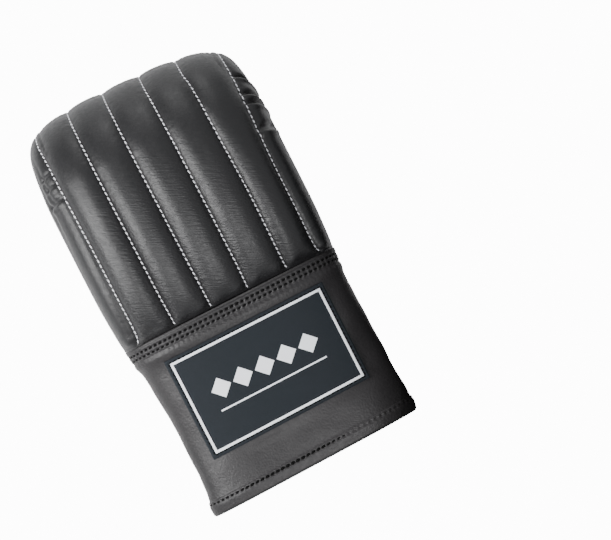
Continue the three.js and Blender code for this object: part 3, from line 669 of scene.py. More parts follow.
def blow(bm, pinned, pressure, cap):
    """Cloth simulation with pressure on a piece's cover. The pinned points hold still, and no point may
    move further than cap, in millimetres."""
    bm.verts.index_update()
    starts = [vert.co.copy() for vert in bm.verts]
    mesh = bpy.data.meshes.new("cloth")
    bm.to_mesh(mesh)
    mesh.transform(Matrix.Scale(SOLVER_SCALE, 4))
    cloth = bpy.data.objects.new("cloth", mesh)
    bpy.context.scene.collection.objects.link(cloth)
    group = cloth.vertex_groups.new(name="pinned")
    group.add([vert.index for vert in pinned], 1.0, "REPLACE")
    solver = cloth.modifiers.new("Cloth", "CLOTH")
    settings = solver.settings
    settings.quality = 6
    settings.mass = 0.4
    settings.air_damping = 2.0
    settings.tension_stiffness = settings.compression_stiffness = 60
    settings.shear_stiffness = 25
    settings.bending_stiffness = 12
    settings.vertex_group_mass = "pinned"
    settings.use_pressure = True
    settings.uniform_pressure_force = pressure
    settings.effector_weights.gravity = 0
    solver.collision_settings.use_collision = False
    solver.point_cache.frame_start, solver.point_cache.frame_end = 1, SOLVER_FRAMES
    for number in range(1, SOLVER_FRAMES + 1):
        bpy.context.scene.frame_set(number)
    blown = cloth.evaluated_get(bpy.context.evaluated_depsgraph_get()).to_mesh()
    most = 0.0
    for vert, start, end in zip(bm.verts, starts, blown.vertices):
        move = end.co / SOLVER_SCALE - start
        most = max(most, move.length)
        if move.length > cap:
            move *= cap / move.length
        vert.co = start + move
    bpy.context.scene.frame_set(1)
    bpy.data.objects.remove(cloth)
    print(f"blown up: the furthest point moved {most:.1f} mm")


stitch_columns = [SIDE_COLUMNS + k * CHANNEL_COLUMNS for k in range(CHANNELS + 1)]
held = [
    vert for vert, column, row in spots(cover)
    if row in (0, PAD_ROWS) or column in (0, PAD_COLUMNS) or column in stitch_columns
]
blow(cover, held, pressure=2.0, cap=5.0)

# %% [markdown]
# The simulated cover is still coarse. It is closed with its lining, smoothed once by subdivision, and
# then the fine work follows on the finished surface, moved in or out along its own normals.

# %% Close, smooth and work the cover
GATHERS = [  # side, along, reach down the wall, depth, width, slant
    (1, 0.515, 0.6, 2.1, 0.011, -0.015),
    (1, 0.598, 1.0, 2.3, 0.009, 0.012),
    (1, 0.638, 1.0, 2.6, 0.009, 0.012),
    (1, 0.722, 1.0, 2.6, 0.01, 0.02),
    (-1, 0.585, 0.4, 1.5, 0.009, 0.0),
    (-1, 0.635, 0.25, 1.0, 0.008, 0.008),
    (-1, 0.68, 0.25, 1.2, 0.008, 0.012),
]
LENGTHWISE_FOLDS = [  # side, down the wall, along, depth, width, length
    (-1, 0.26, 0.66, 0.8, 0.05, 0.1),
    (-1, 0.44, 0.58, 0.9, 0.06, 0.12),
    (-1, 0.62, 0.7, 0.7, 0.05, 0.1),
]
PAD_END_GAP = 0.27
TRENCH_DEPTH, TRENCH_WIDTH = 0.55, 0.7  # the stitch line pulled into the leather, in millimetres
PUCKER_DEPTH = 0.16
END_BULGE = 0.9  # beside the stitch lines' ends, where the foam is caught under the wrist seam
TIP_FILL = 1.1  # beside the outer lines near the finger end
thicken(cover, lambda i, j: pad_lining(pad_angle(i, pad_ats[j]), pad_ats[j]))
mesh = bpy.data.meshes.new("cover")
cover.to_mesh(mesh)
cover.free()
smoother = bpy.data.objects.new("cover", mesh)
bpy.context.scene.collection.objects.link(smoother)
smooth = smoother.modifiers.new("Smooth", "SUBSURF")
smooth.levels = smooth.render_levels = 1
smoothed = bpy.data.meshes.new_from_object(smoother.evaluated_get(bpy.context.evaluated_depsgraph_get()))
bpy.data.objects.remove(smoother)
cover = bmesh.new()
cover.from_mesh(smoothed)


def gather(side, wall, at):
    """How deep the folds of a side wall press in there, in millimetres; wall is 0 at its stitch line."""
    deep = 0.0
    for g_side, g_at, reach, depth, width, slant in GATHERS:
        if g_side == side:
            line = g_at + slant * (1 - wall)
            wide = width * (1 + 0.5 * wall)
            fade = ease((wall + 0.12) / 0.34) * ease((reach - wall) * 5 + 1)
            deep += depth * fade * (bump_at(at, line, wide) - 0.4 * bump_at(at, line - 2 * wide, wide))
    for f_side, f_wall, f_at, depth, width, length in LENGTHWISE_FOLDS:
        if f_side == side:
            deep += depth * bump_at(wall, f_wall, width) * bump_at(at, f_at, length)
    return deep


stitch_lines = {k: [] for k in range(CHANNELS + 1)}
cover.normal_update()
column_layer, row_layer, pull_layer, inside_layer = (
    cover.verts.layers.float[name] for name in ("column", "row", "pull", "inside"))
for vert in cover.verts:
    if vert[row_layer] < 0.01:  # the smoothing drew this end back, and here it meets the cuff again
        vert.co.y = CUFF_LENGTH + PAD_END_GAP
    if vert[inside_layer] > 0.4:
        continue
    number = 1 + (vert[column_layer] - SIDE_COLUMNS) / CHANNEL_COLUMNS
    row = vert[row_layer]
    at = mix(pad_ats[int(row)], pad_ats[min(PAD_ROWS, int(row) + 1)], row % 1)
    inside = 1 <= number <= CHANNELS + 1
    nearest = clamp(round(number), 1, CHANNELS + 1)
    away = abs(number - nearest) * CHANNEL_WIDTH
    trench = TRENCH_DEPTH * bump_at(away, 0, TRENCH_WIDTH) * ease(at * 30)
    rib = noise.noise(Vector((nearest * 9 + (number > nearest) * 4, vert.co.y * 0.5, vert.co.z * 0.5)))
    pucker = PUCKER_DEPTH * rib * bump_at(away, 1.8, 3.0) * ease(away)
    creased = mix(1, 0.3, ease((at - 0.42) / 0.2))
    vert[pull_layer] = creased * (0.45 + 0.55 * bump_at(away, 0, 6)) if inside else 0.25
    bulge = END_BULGE * bump_at(away, 4.5, 3.5) * bump_at(at, 0.04, 0.022)
    deep = trench + pucker - bulge
    for side, wall in ((-1, 1 - number), (1, number - CHANNELS - 1)):
        if wall > -0.14:
            deep += gather(side, wall, at) - 0.6 * bump_at(at, 0, 0.012)
            deep -= TIP_FILL * bump_at(away, 0, 4) * ease((at - 0.72) / 0.12)
    if abs(number - nearest) < 0.004:
        stitch_lines[nearest - 1].append((at, vert))
    vert.co -= vert.normal * deep
print("worked cover:", len(cover.faces), "faces")

# %% [markdown]
# White thread runs along each of the six lines, on the points of the cover that lie on it, and once
# across the pad just before the roll.

# %% Sew the white stitch lines
LINE_START = 0.012  # along the pad, where the line comes out of the wrist seam
END_LINE, END_LINE_HALF = 0.968, 55  # along the pad, and half its length in millimetres
cover.normal_update()
for k, line in stitch_lines.items():
    line.sort(key=lambda spot: spot[0])
    path = [vert.co.copy() for at, vert in line if at > LINE_START]
    normals = [vert.normal.copy() for at, vert in line if at > LINE_START]
    sewn = sew(white_rows, path, normals, "channel")
print("stitches on one line:", sewn)
end_xs = [mix(-END_LINE_HALF, END_LINE_HALF, k / 150) for k in range(151)]
path, normals = surface_line(pad_point, [(line_angle(x, END_LINE), END_LINE) for x in end_xs], 0.002)
sew(white_rows, path, normals, "finger end")

pad_cover = as_object("pad_cover", cover, sharp=55)
dress(pad_cover, "padded_back", pad_skin)

# %% [markdown]
# ## The cuff
#
# The cuff's back is one leather panel. At the wrist seam it is doubled and topstitched with two rows of
# black thread, which makes a narrow raised band. At the other end its hem is turned in and sewn down.
# Both are drawn as small steps and grooves across the sheet, and soft waves run over the rest, because
# an empty cuff never lies quite flat.

# %% Cuff leather
SEAM_ROWS = (103.6, 100.7)
HEM_ROW = 7.4
BAND_EDGE, HEM_EDGE = 98.9, 8.2
CUFF_REACH = 0.22  # how far its end is drawn up to the pad
SEAM_ALLOWANCE = 1.6  # turned in along both side seams
CUFF_COLUMNS = 400
cuff_angles = even_steps(lambda a: cuff_point(a, 50, 0), -QUARTER_TURN, QUARTER_TURN, CUFF_COLUMNS)
# rows every half millimetre at the hem, coarser ones under the label, and finer again at the seam
cuff_ss = ([mix(0, 12, k / 24) for k in range(24)] + [mix(12, 96, k / 46) for k in range(46)]
           + [mix(96, CUFF_LENGTH, k / 26) for k in range(27)])
CUFF_ROWS = len(cuff_ss) - 1
first_angle, last_angle = cuff_angles[3], cuff_angles[-4]
dimples = {row: stitch_wave(lambda a, s=row: cuff_point(a, s, 0), first_angle, last_angle, "cuff")
           for row in SEAM_ROWS + (HEM_ROW,)}


def cuff_dimples(angle, s):
    """How deep the stitches pull the leather in, and the puckers that run from the lower seam row."""
    sunk = 0.0
    for row, dimple in dimples.items():
        near = bump_at(s, row, 0.9)
        if near > 0.02:
            sunk += near * mix(0.4, 0.75 if row == HEM_ROW else 1.1, dimple(angle))
    low_row = SEAM_ROWS[1]
    if low_row - 9 < s < low_row:
        sunk += 0.1 * dimples[low_row](angle) * ease((s - low_row + 8) / 6) * ease((low_row - s) / 1.5)
    return sunk


def cuff_waves(x, s):
    """The soft waves of the empty cuff, nearly flat under the label, and the hem's flare."""
    free = ease((s - 9) / 8) * ease((97 - s) / 6)
    beside_label = ease((abs(x - LABEL_OFFSET) - 46) / 12)
    below_label = ease((LABEL_FOOT - s) / 6)
    coarse = noise.noise(Vector((x / 34, s / 23, 3.1))) * 1.1
    fine = noise.noise(Vector((x / 13, s / 10, 7.7))) * 0.3
    flare = (1.9 * bump_at(x, 47, 18) - 1.1 * bump_at(x, -12, 24)) * bump_at(s, 10, 20) * below_label
    return flare + free * (coarse + fine) * mix(0.15, 1, max(beside_label, below_label))


def cuff_relief(angle, x, s):
    """How far the cuff's outer face stands out of the plain section there."""
    over_hand = ease((depth_share(angle, CUFF_ROUND) - 0.35) / 0.4)
    band = 1.0 * ease((s - BAND_EDGE) / 1.3) - 0.6 * over_hand * bump_at(s, 106.4, 0.8)
    puff = 0.8 * bump_at(s, 96.2, 2.6)
    hem = 1.0 * (1 - ease((s - HEM_EDGE) / 1.2)) - 0.9 * (1 - ease(s / 7)) - (1 - ease(s / 1.8)) ** 2
    return band + puff + hem - cuff_dimples(angle, s) + cuff_waves(x, s)


def cuff_outer(angle, s):
    x = middle_at(s) + half_width(s) * across_share(angle, CUFF_ROUND)
    point = cuff_point(angle, s, cuff_relief(angle, x, s))
    point.y += CUFF_REACH * ease(s - CUFF_LENGTH + 1)
    return point


def cuff_inner(angle, s):
    """The inner face, with the seam allowance turned in along both sides."""
    return cuff_point(angle, s, -CUFF_WALL - SEAM_ALLOWANCE * ease((abs(angle) - 1.2) / 0.3))


bm = placed_grid(CUFF_COLUMNS, CUFF_ROWS, lambda i, j: cuff_outer(cuff_angles[i], cuff_ss[j]))
set_pull(bm, lambda co, i, j: max(bump_at(co.y, 98, 7), bump_at(co.y, 10, 5) * 0.7))
thicken(bm, lambda i, j: cuff_inner(cuff_angles[i], cuff_ss[j]))
cuff = as_object("cuff_leather", bm, sharp=60)
dress(cuff, "cuff_back", cuff_skin)

for row in dimples:
    line = [(mix(first_angle, last_angle, k / 300), row) for k in range(301)]
    rise = 0.1 if row == HEM_ROW else 0.12
    path, normals = surface_line(lambda a, s: cuff_point(a, s, rise), line, 0.01)
    sew(black_rows, path, normals, "cuff")

# %% [markdown]
# ## Label
#
# A woven polyester patch, its edges folded under and sewn down with black thread. Woven cloth is matt
# and its threads make a fine grid, which its UV map carries in millimetres. The pattern is worked out
# there too, so that its edges stay sharp: a white frame line, and a row of lozenges over a rule. Each
# mark is a pair of tests, one across and one along, and the marks are joined by their maximum.


# %% Woven cloth and the label's pattern
def woven(name):
    """Woven polyester, whose colour and relief are still to be linked. Its UV map says where."""
    material, tree, surface = new_material(name, Roughness=0.85, IOR=1.4)
    where = add(tree, "UVMap", {"uv_map": "UVMap"})
    return material, tree, surface, where


def from_middle(tree, where, width, length):
    """How far a point of the cloth lies from its middle, across and along, in millimetres: first with
    its sign, then without."""
    split = add(tree, "SeparateXYZ", Vector=where)
    signed = [add(tree, "Math", {"operation": "MULTIPLY_ADD"},
                  _0=split.outputs[axis], _1=size, _2=-size / 2)
              for axis, size in (("X", float(width)), ("Y", float(length)))]
    return signed, [add(tree, "Math", {"operation": "ABSOLUTE"}, _0=value) for value in signed]


LABEL_THREAD = 0.57  # millimetres between threads; the real ones are nearer 0.2, too fine to show
FRAME_HALVES, FRAME_LINE = (47.5, 28.0), 1.5
LOZENGES, LOZENGE_PITCH, LOZENGE_HALF, LOZENGE_HEIGHT = 5, 14.0, 6.3, 3.5
RULE_LENGTH, RULE_WIDTH, RULE_HEIGHT = 68.0, 1.0, -8.5
label_cloth, tree, surface, where = woven("woven polyester label")
(across, along), away = from_middle(tree, where, LABEL_WIDTH, LABEL_LENGTH)
marks = []
half_line = FRAME_LINE / 2
for side, end in ((0, 1), (1, 0)):
    near = add(tree, "Math", {"operation": "COMPARE"}, _0=away[side], _1=FRAME_HALVES[side], _2=half_line)
    short = add(tree, "Math", {"operation": "LESS_THAN"}, _0=away[end], _1=FRAME_HALVES[end] + half_line)
    marks.append((near, short))
beside = add(tree, "Math", {"operation": "PINGPONG"}, _0=across, _1=LOZENGE_PITCH / 2)
raised = add(tree, "Math", {"operation": "SUBTRACT"}, _0=along, _1=LOZENGE_HEIGHT)
raised = add(tree, "Math", {"operation": "ABSOLUTE"}, _0=raised)
reach = add(tree, "Math", {"operation": "ADD"}, _0=beside, _1=raised)
lozenge = add(tree, "Math", {"operation": "LESS_THAN"}, _0=reach, _1=LOZENGE_HALF)
rule = add(tree, "Math", {"operation": "COMPARE"}, _0=along, _1=RULE_HEIGHT, _2=RULE_WIDTH / 2)
for test, length in ((lozenge, LOZENGES * LOZENGE_PITCH), (rule, RULE_LENGTH)):
    marks.append((test, add(tree, "Math", {"operation": "LESS_THAN"}, _0=away[0], _1=length / 2)))
marks = [add(tree, "Math", {"operation": "MULTIPLY"}, _0=one, _1=other) for one, other in marks]
line = marks[0]
for mark in marks[1:]:
    line = add(tree, "Math", {"operation": "MAXIMUM"}, _0=line, _1=mark)
print("marks woven into the label:", len(marks))

# %% The label's threads and colours
threads = add(tree, "Mapping", Vector=where, Scale=(LABEL_WIDTH, LABEL_LENGTH, 1))
warp, weft = (add(tree, "TexWave", {"bands_direction": axis}, Vector=threads,
                  Scale=WAVE_PERIOD / LABEL_THREAD, Distortion=0.3) for axis in "XY")
cloth_height = add(tree, "Math", {"operation": "MAXIMUM"}, _0=warp.outputs["Fac"], _1=weft.outputs["Fac"])
# Painted shade: the ground's colour follows the threads' height, darker between the threads and lighter on
# their tops.
ground_with_painted_shade = add(tree, "Mix", {"data_type": "RGBA"}, _0=cloth_height,
             _6=linear("#0e1216"), _7=linear("#1a2026"))
colour = add(tree, "Mix", {"data_type": "RGBA"}, _0=line, _6=ground_with_painted_shade.outputs[2], _7=linear("#f4f6fa"))
tree.links.new(colour.outputs[2], surface.inputs["Base Color"])
height = add(tree, "Math", {"operation": "MULTIPLY_ADD"}, _0=line, _1=1.2, _2=cloth_height)
relief = add(tree, "Bump", Strength=1.0, Distance=0.06 * MM, Height=height)
tree.links.new(relief.outputs["Normal"], surface.inputs["Normal"])

# %% [markdown]
# The patch is a grid laid on the cuff's section. Its folded edge is a little thicker than its field,
# the row of stitches is pulled in, and its rim is rounded.

# %% Label patch
LABEL_COLUMNS, LABEL_ROWS = 110, 70
LABEL_ROW = 2.0  # the stitches, from its edge


def label_point(across_mm, along_mm, out):
    s = LABEL_FOOT + along_mm
    x = LABEL_OFFSET - LABEL_WIDTH / 2 + across_mm
    share = (x - middle_at(s)) / (half_width(s) + out)
    return cuff_point(angle_of(share, CUFF_ROUND), s, out)


def label_outer(across_mm, along_mm):
    from_edge = min(across_mm, LABEL_WIDTH - across_mm, along_mm, LABEL_LENGTH - along_mm)
    fold = 0.25 * (1 - ease((from_edge - 3.6) / 0.8)) - 0.35 * bump_at(from_edge, LABEL_ROW, 0.5)
    rim = -0.5 * (1 - ease(from_edge / 0.9)) ** 2
    wave = 0.15 * noise.noise(Vector((across_mm / 22, along_mm / 18, 1.3)))
    return label_point(across_mm, along_mm, LAID_GAP + LABEL_THICKNESS + fold + rim + wave)


def label_spot(i, j):
    return i * LABEL_WIDTH / LABEL_COLUMNS, j * LABEL_LENGTH / LABEL_ROWS


bm = placed_grid(LABEL_COLUMNS, LABEL_ROWS, lambda i, j: label_outer(*label_spot(i, j)))
thicken(bm, lambda i, j: label_point(*label_spot(i, j), LAID_GAP))
label = as_object("label_patch", bm)
dress(label, "cuff_label", label_cloth)

near, far_across, far_along = LABEL_ROW, LABEL_WIDTH - LABEL_ROW, LABEL_LENGTH - LABEL_ROW
corners = [(near, near), (far_across, near), (far_across, far_along), (near, far_along)]
for (a, b), (c, d) in zip(corners, corners[1:] + corners[:1]):
    line = [(mix(a, c, k / 80), mix(b, d, k / 80)) for k in range(81)]
    path, normals = surface_line(label_outer, line)
    sew(black_rows, path, normals, "label")

# %% [markdown]
# ## Palm, gusset, flap and gore
#
# The palm side is thin leather. The palm panel runs from the gusset seam to its own hem. At the thumb's
# side it stops under the wrist flap, whose free edge lies over it, so that the hand can open the slit.
# The gore is a small stitched patch at the slit's end, where the real glove would tear first.

# %% Palm leather
PALM_END = PALM_SEAM - SEWN_GAP / 2
PALM_HEM_ROW, FINGER_ROW = PALM_HEM + 4.6, 193.6  # the stitch rows at its two ends
PALM_COLUMNS, PALM_ROWS = 150, 150
TACKS = [(-24, 167), (-7, 167), (-10, 154), (-6, 184)]
palm_angles = even_steps(lambda a: palm_point(a, 150, 0), -QUARTER_TURN, QUARTER_TURN, PALM_COLUMNS)
palm_ss = [mix(PALM_HEM, PALM_END, k / PALM_ROWS) for k in range(PALM_ROWS + 1)]


def palm_relief(x, s):
    """How far the palm's leather dips inwards there."""
    tack = sum(2.2 * bump_at(math.hypot(x - a, s - b), 0, 3.2) for a, b in TACKS)
    row = 0.5 * bump_at(s, FINGER_ROW, 0.7) + 0.5 * bump_at(s, PALM_HEM_ROW, 0.7)
    step = 0.7 * (1 - ease((s - 195.4) / -1.2)) if s > 194 else 0
    hem = -0.45 * (1 - ease((s - PALM_HEM - 6) / 1.2))
    wave = noise.noise(Vector((x / 30, s / 26, 5.5))) * 0.8 * ease((s - 20) / 20)
    return tack + row + step + hem + max(0, wave)


def palm_outer(angle, s):
    x = middle_at(s) + palm_half_width(s) * across_share(angle, PALM_ROUND)
    flat = depth_share(angle, PALM_ROUND)
    return palm_point(angle, s, -palm_relief(x, s) * flat)


def palm_inner(angle, s):
    return palm_point(angle, s, -PALM_LEATHER - 0.8 * bump_at(s, PALM_HEM, 7) - 1.0)


bm = placed_grid(PALM_COLUMNS, PALM_ROWS, lambda i, j: palm_outer(palm_angles[i], palm_ss[j]))


def palm_pull(co):
    """The leather creases at the finger seam, round the tacks and at the wrist."""
    tug = sum(bump_at(math.hypot(co.x - a, co.y - b), 0, 9) for a, b in TACKS)
    return max(bump_at(co.y, 193, 8), tug, bump_at(co.y, 60, 30) * 0.5)


set_pull(bm, lambda co, column, row: palm_pull(co))
thicken(bm, lambda i, j: palm_inner(palm_angles[i], palm_ss[j]))
print("palm leather before its holes are cut:", len(bm.faces), "faces")

# %% [markdown]
# The thumb opens into the hand through an oval hole in the palm. Where the flap takes over, the palm
# panel's corner is cut away as well. Both cuts are made with boolean modifiers, whose result is kept.

# %% Cut the thumb's hole and the corner
THUMB_LEAN = math.radians(13)
THUMB_AHEAD = Vector((-math.sin(THUMB_LEAN), math.cos(THUMB_LEAN), 0))
THUMB_ACROSS = Vector((math.cos(THUMB_LEAN), math.sin(THUMB_LEAN), 0))
HEEL, TIP = 0.37, 0.985
FLAP_CLEARANCE, ROLL_CLEARANCE = 2.8, 10
GORE_LENGTH, GORE_WIDTH, GORE_THICKNESS = 24, 11, 1.1
thumb_room = GLOVE_LENGTH - ROLL_REACH - ROLL_CLEARANCE - FLAP_TOP - FLAP_CLEARANCE
THUMB_REACH = thumb_room / ((HEEL + TIP) * math.cos(THUMB_LEAN))
THUMB_HOLE = Vector((SLIT + GORE_WIDTH * 0.72 + 0.8 + THUMB_WIDTH / 2,
                     FLAP_TOP + FLAP_CLEARANCE + HEEL * THUMB_REACH * math.cos(THUMB_LEAN), 0))
hole_across = THUMB_WIDTH / 2 - THUMB_LEATHER - 2
hole_along = THUMB_REACH * (HEEL - 0.01) - THUMB_LEATHER - 1


def cut(bm, cutters):
    """Takes the cutters, closed meshes, out of a piece."""
    mesh = bpy.data.meshes.new("cut")
    bm.to_mesh(mesh)
    bm.free()
    piece = bpy.data.objects.new("cut", mesh)
    bpy.context.scene.collection.objects.link(piece)
    tools = []
    for cutter in cutters:
        shape = bpy.data.meshes.new("cutter")
        cutter.to_mesh(shape)
        cutter.free()
        tool = bpy.data.objects.new("cutter", shape)
        bpy.context.scene.collection.objects.link(tool)
        step = piece.modifiers.new("Cut", "BOOLEAN")
        step.operation, step.solver, step.object = "DIFFERENCE", "EXACT", tool
        tools.append(tool)
    made = bpy.data.meshes.new_from_object(piece.evaluated_get(bpy.context.evaluated_depsgraph_get()))
    for old in [piece, *tools]:
        bpy.data.objects.remove(old)
    bm = bmesh.new()
    bm.from_mesh(made)
    return bm


CUT_SIZE, CUT_DEPTH = 120, 150  # large enough to reach past the leather
FLAP_LAP = 4  # how far the palm leather reaches down under the flap's top
hole = bmesh.new()
at_hole = Matrix.Translation(THUMB_HOLE) @ Matrix.Rotation(THUMB_LEAN, 4, "Z")
bmesh.ops.create_cone(hole, cap_ends=True, segments=48, radius1=1, radius2=1, depth=CUT_DEPTH,
                      matrix=at_hole @ Matrix.Diagonal((hole_across, hole_along, 1, 1)))
corner = bmesh.new()
at_corner = Matrix.Translation((SLIT + SLIT_OVERLAP + CUT_SIZE / 2, FLAP_TOP - FLAP_LAP - CUT_SIZE / 2, 0))
bmesh.ops.create_cube(corner, size=1,
                      matrix=at_corner @ Matrix.Diagonal((CUT_SIZE, CUT_SIZE, CUT_DEPTH, 1)))
bm = cut(bm, [hole, corner])
palm = as_object("palm_leather", bm)
dress(palm, "palm_panel", palm_skin)


def sew_below(place, spots, step, kind):
    """Black stitches along spots of a surface whose outside faces down."""
    path, normals = surface_line(place, spots, step, outside=-1)
    return sew(black_rows, path, normals, kind)


slit_edge = SLIT + SLIT_OVERLAP - 2
shown = [a for a in palm_angles[4:] if palm_point(a, PALM_HEM_ROW, 0).x < slit_edge]
sewn = sew_below(palm_outer, [(a, FINGER_ROW) for a in palm_angles[6:-6]], 0.01, "palm")
sewn += sew_below(palm_outer, [(a, PALM_HEM_ROW) for a in shown], 0.01, "palm")
print("stitches on the palm:", sewn)

# %% [markdown]
# The gusset is a strip of the same leather that tucks in between the palm's seam and the roll, so that
# the fingers can curl. It follows the palm's own section, a little puckered.

# %% Finger gusset
GUSSET_START = PALM_SEAM + SEWN_GAP / 2
GUSSET_END = CUFF_LENGTH + PAD_LENGTH * 0.838
GUSSET_ROWS = 26
gusset_ss = [mix(GUSSET_START, GUSSET_END, k / GUSSET_ROWS) for k in range(GUSSET_ROWS + 1)]


def gusset_outer(angle, s):
    x = middle_at(s) + palm_half_width(s) * across_share(angle, PALM_ROUND)
    tuck = 0.9 * bump_at(s, GUSSET_START, 1.6) + 0.5 * noise.noise(Vector((x / 18, s / 9, 2.2)))
    return palm_point(angle, s, -max(0, tuck))


GUSSET_FOLD = 0.6  # the tucked strip is thicker than the leather by this
bm = placed_grid(PALM_COLUMNS, GUSSET_ROWS, lambda i, j: gusset_outer(palm_angles[i], gusset_ss[j]))
thicken(bm, lambda i, j: palm_point(palm_angles[i], gusset_ss[j], -PALM_LEATHER - GUSSET_FOLD))
gusset = as_object("gusset_leather", bm)
dress(gusset, "finger_gusset", palm_skin)

# %% [markdown]
# The wrist flap starts at the slit, crosses the thumb's side of the wrist and climbs the side wall. Its
# upper corner rises at the slit, where the gore is sewn over its end.

# %% Wrist flap
PALM_FLAT = 0.8  # of the palm's half width; past it the flap climbs the side wall
FLAP_HEM_ROW = FLAP_HEM + 6.5
FLAP_RISE, FLAP_RISE_WIDTH = 9, 21  # how far its top rises at the slit, and over what width
FLAP_COLUMNS, FLAP_ROWS = 90, 90
flap_ss = [mix(FLAP_HEM, FLAP_TOP, k / FLAP_ROWS) for k in range(FLAP_ROWS + 1)]


def flap_point(share, s, out):
    across = mix(SLIT, middle_at(s) + PALM_FLAT * palm_half_width(s), share * 2)
    raised = clamp((s - ELASTIC_HEIGHT) / (FLAP_TOP - ELASTIC_HEIGHT)) ** 2
    place = s + FLAP_RISE * raised * max(0, 1 - (across - SLIT) / FLAP_RISE_WIDTH) ** 1.5
    if share < 0.5:
        return palm_point(palm_angle_at(across, place, out), place, out)
    return palm_point(mix(angle_of(PALM_FLAT, PALM_ROUND), QUARTER_TURN, share * 2 - 1), place, out)


def flap_outer(share, s):
    above_foot, below_top = s - ELASTIC_HEIGHT, ELASTIC_HEIGHT + ELASTIC_WIDTH - s
    under_elastic = ease((above_foot + 4) / 4) * ease((below_top + 4) / 4)
    hem = 0.6 * (1 - ease((s - FLAP_HEM - 8.4) / 1.1)) - 0.5 * bump_at(s, FLAP_HEM_ROW, 0.6)
    wave = noise.noise(Vector((share * 5, s / 14, 8.8))) * 0.5 * ease((s - 18) / 8) * (1 - under_elastic)
    return flap_point(share, s, LAID_GAP + FLAP_LEATHER + hem - max(0, wave))


bm = placed_grid(FLAP_COLUMNS, FLAP_ROWS, lambda i, j: flap_outer(i / FLAP_COLUMNS, flap_ss[j]))
set_pull(bm, lambda co, i, j: 0.6 * max(bump_at(co.y, 36, 9), bump_at(co.y, 92, 8)))
thicken(bm, lambda i, j: flap_point(i / FLAP_COLUMNS, flap_ss[j], LAID_GAP))
flap = as_object("flap_leather", bm)
dress(flap, "wrist_flap", palm_skin)
sew_below(flap_outer, [(k / 100, FLAP_HEM_ROW) for k in range(2, 97)], 0.005, "palm")

# %% [markdown]
# The gore is a small tapered patch of one more layer, with a row of stitches along each long side.

# %% Gore at the slit's end
GORE = tracks("left right", [
    (0.0, -0.28, 0.22),
    (0.3, -0.25, 0.42),
    (0.72, -0.18, 0.72),
    (1.0, -0.06, 0.06),
])
GORE_FOOT = FLAP_TOP + FLAP_RISE + SEWN_GAP * 2
GORE_COLUMNS, GORE_ROWS = 24, 44


def gore_point(share, along, out):
    s = GORE_FOOT + along * GORE_LENGTH
    x = SLIT + GORE_WIDTH * mix(GORE["left"](along), GORE["right"](along), share)
    return palm_point(palm_angle_at(x, s, out), s, out)


def gore_outer(share, along):
    edge = min(share, 1 - share)
    return gore_point(share, along, LAID_GAP + GORE_THICKNESS - 0.4 * bump_at(edge, 0, 0.06)
                      - 0.3 * bump_at(edge, 0.2, 0.07))


bm = placed_grid(GORE_COLUMNS, GORE_ROWS, lambda i, j: gore_outer(i / GORE_COLUMNS, j / GORE_ROWS))
thicken(bm, lambda i, j: gore_point(i / GORE_COLUMNS, j / GORE_ROWS, LAID_GAP))
gore = as_object("gore_patch", bm)
dress(gore, "slit_gore", palm_skin)
for share in (0.2, 0.8):
    sew_below(gore_outer, [(share, k / 40) for k in range(1, 37)], 0.01, "gore")

# %% [markdown]
# ## Wrist elastic
#
# A 40 mm woven elastic lies round the palm side of the wrist, stretched from side seam to side seam. It
# is black with a red stripe along each edge, and its rubber threads show as fine ribs across it. The
# stripes are woven in, so they are worked out on the UV map, as the label's marks are.

# %% Elastic's weave
STRIPE_MIDDLE, STRIPE_WIDTH = 16.0, 6.0  # from the band's middle
RIB_PITCH, CORD_PITCH = 0.63, 0.83  # millimetres, about twice as coarse as the real ones
elastic_cloth, tree, surface, where = woven("woven wrist elastic")
away = from_middle(tree, where, ELASTIC_SPAN, ELASTIC_WIDTH)[1]
red = add(tree, "Math", {"operation": "COMPARE"}, _0=away[1], _1=STRIPE_MIDDLE, _2=STRIPE_WIDTH / 2)
ribs = add(tree, "Mapping", Vector=where, Scale=(ELASTIC_SPAN, ELASTIC_WIDTH, 1))
rib = add(tree, "TexWave", {"bands_direction": "X"}, Vector=ribs, Scale=WAVE_PERIOD / RIB_PITCH,
          Distortion=0.4, Detail=1.0).outputs["Fac"]
cord = add(tree, "TexWave", {"bands_direction": "Y"}, Vector=ribs, Scale=WAVE_PERIOD / CORD_PITCH)
height = add(tree, "Math", {"operation": "MULTIPLY_ADD"}, _0=cord.outputs["Fac"], _1=0.5, _2=rib)
# Painted shade: both colours follow the ribs' height, darker in the grooves between the ribs and lighter
# on their tops.
black_with_painted_shade = add(tree, "Mix", {"data_type": "RGBA"}, _0=rib, _6=linear("#121416"), _7=linear("#1e2226"))
scarlet_with_painted_shade = add(tree, "Mix", {"data_type": "RGBA"}, _0=rib, _6=linear("#b8141c"), _7=linear("#de2430"))
colour = add(tree, "Mix", {"data_type": "RGBA"}, _0=red, _6=black_with_painted_shade.outputs[2], _7=scarlet_with_painted_shade.outputs[2])
tree.links.new(colour.outputs[2], surface.inputs["Base Color"])
relief = add(tree, "Bump", Strength=1.0, Distance=0.08 * MM, Height=height)
tree.links.new(relief.outputs["Normal"], surface.inputs["Normal"])
print("cloth:", elastic_cloth.name)

# %% Elastic band
ELASTIC_INSIDE = LAID_GAP + FLAP_LEATHER + LAID_GAP / 2
ELASTIC_COLUMNS, ELASTIC_ROWS = 150, 40
elastic_angles = even_steps(lambda a: palm_point(a, 65, ELASTIC_INSIDE), -QUARTER_TURN, QUARTER_TURN,
                            ELASTIC_COLUMNS)
elastic_ss = [ELASTIC_HEIGHT + ELASTIC_WIDTH * k / ELASTIC_ROWS for k in range(ELASTIC_ROWS + 1)]


def elastic_outer(angle, s):
    from_edge = min(s - ELASTIC_HEIGHT, ELASTIC_HEIGHT + ELASTIC_WIDTH - s)
    rim = -0.3 * (1 - ease(from_edge / 1.0)) ** 2
    point = palm_point(angle, s, ELASTIC_INSIDE + ELASTIC_THICKNESS + rim)
    point.z = max(0, point.z)
    return point


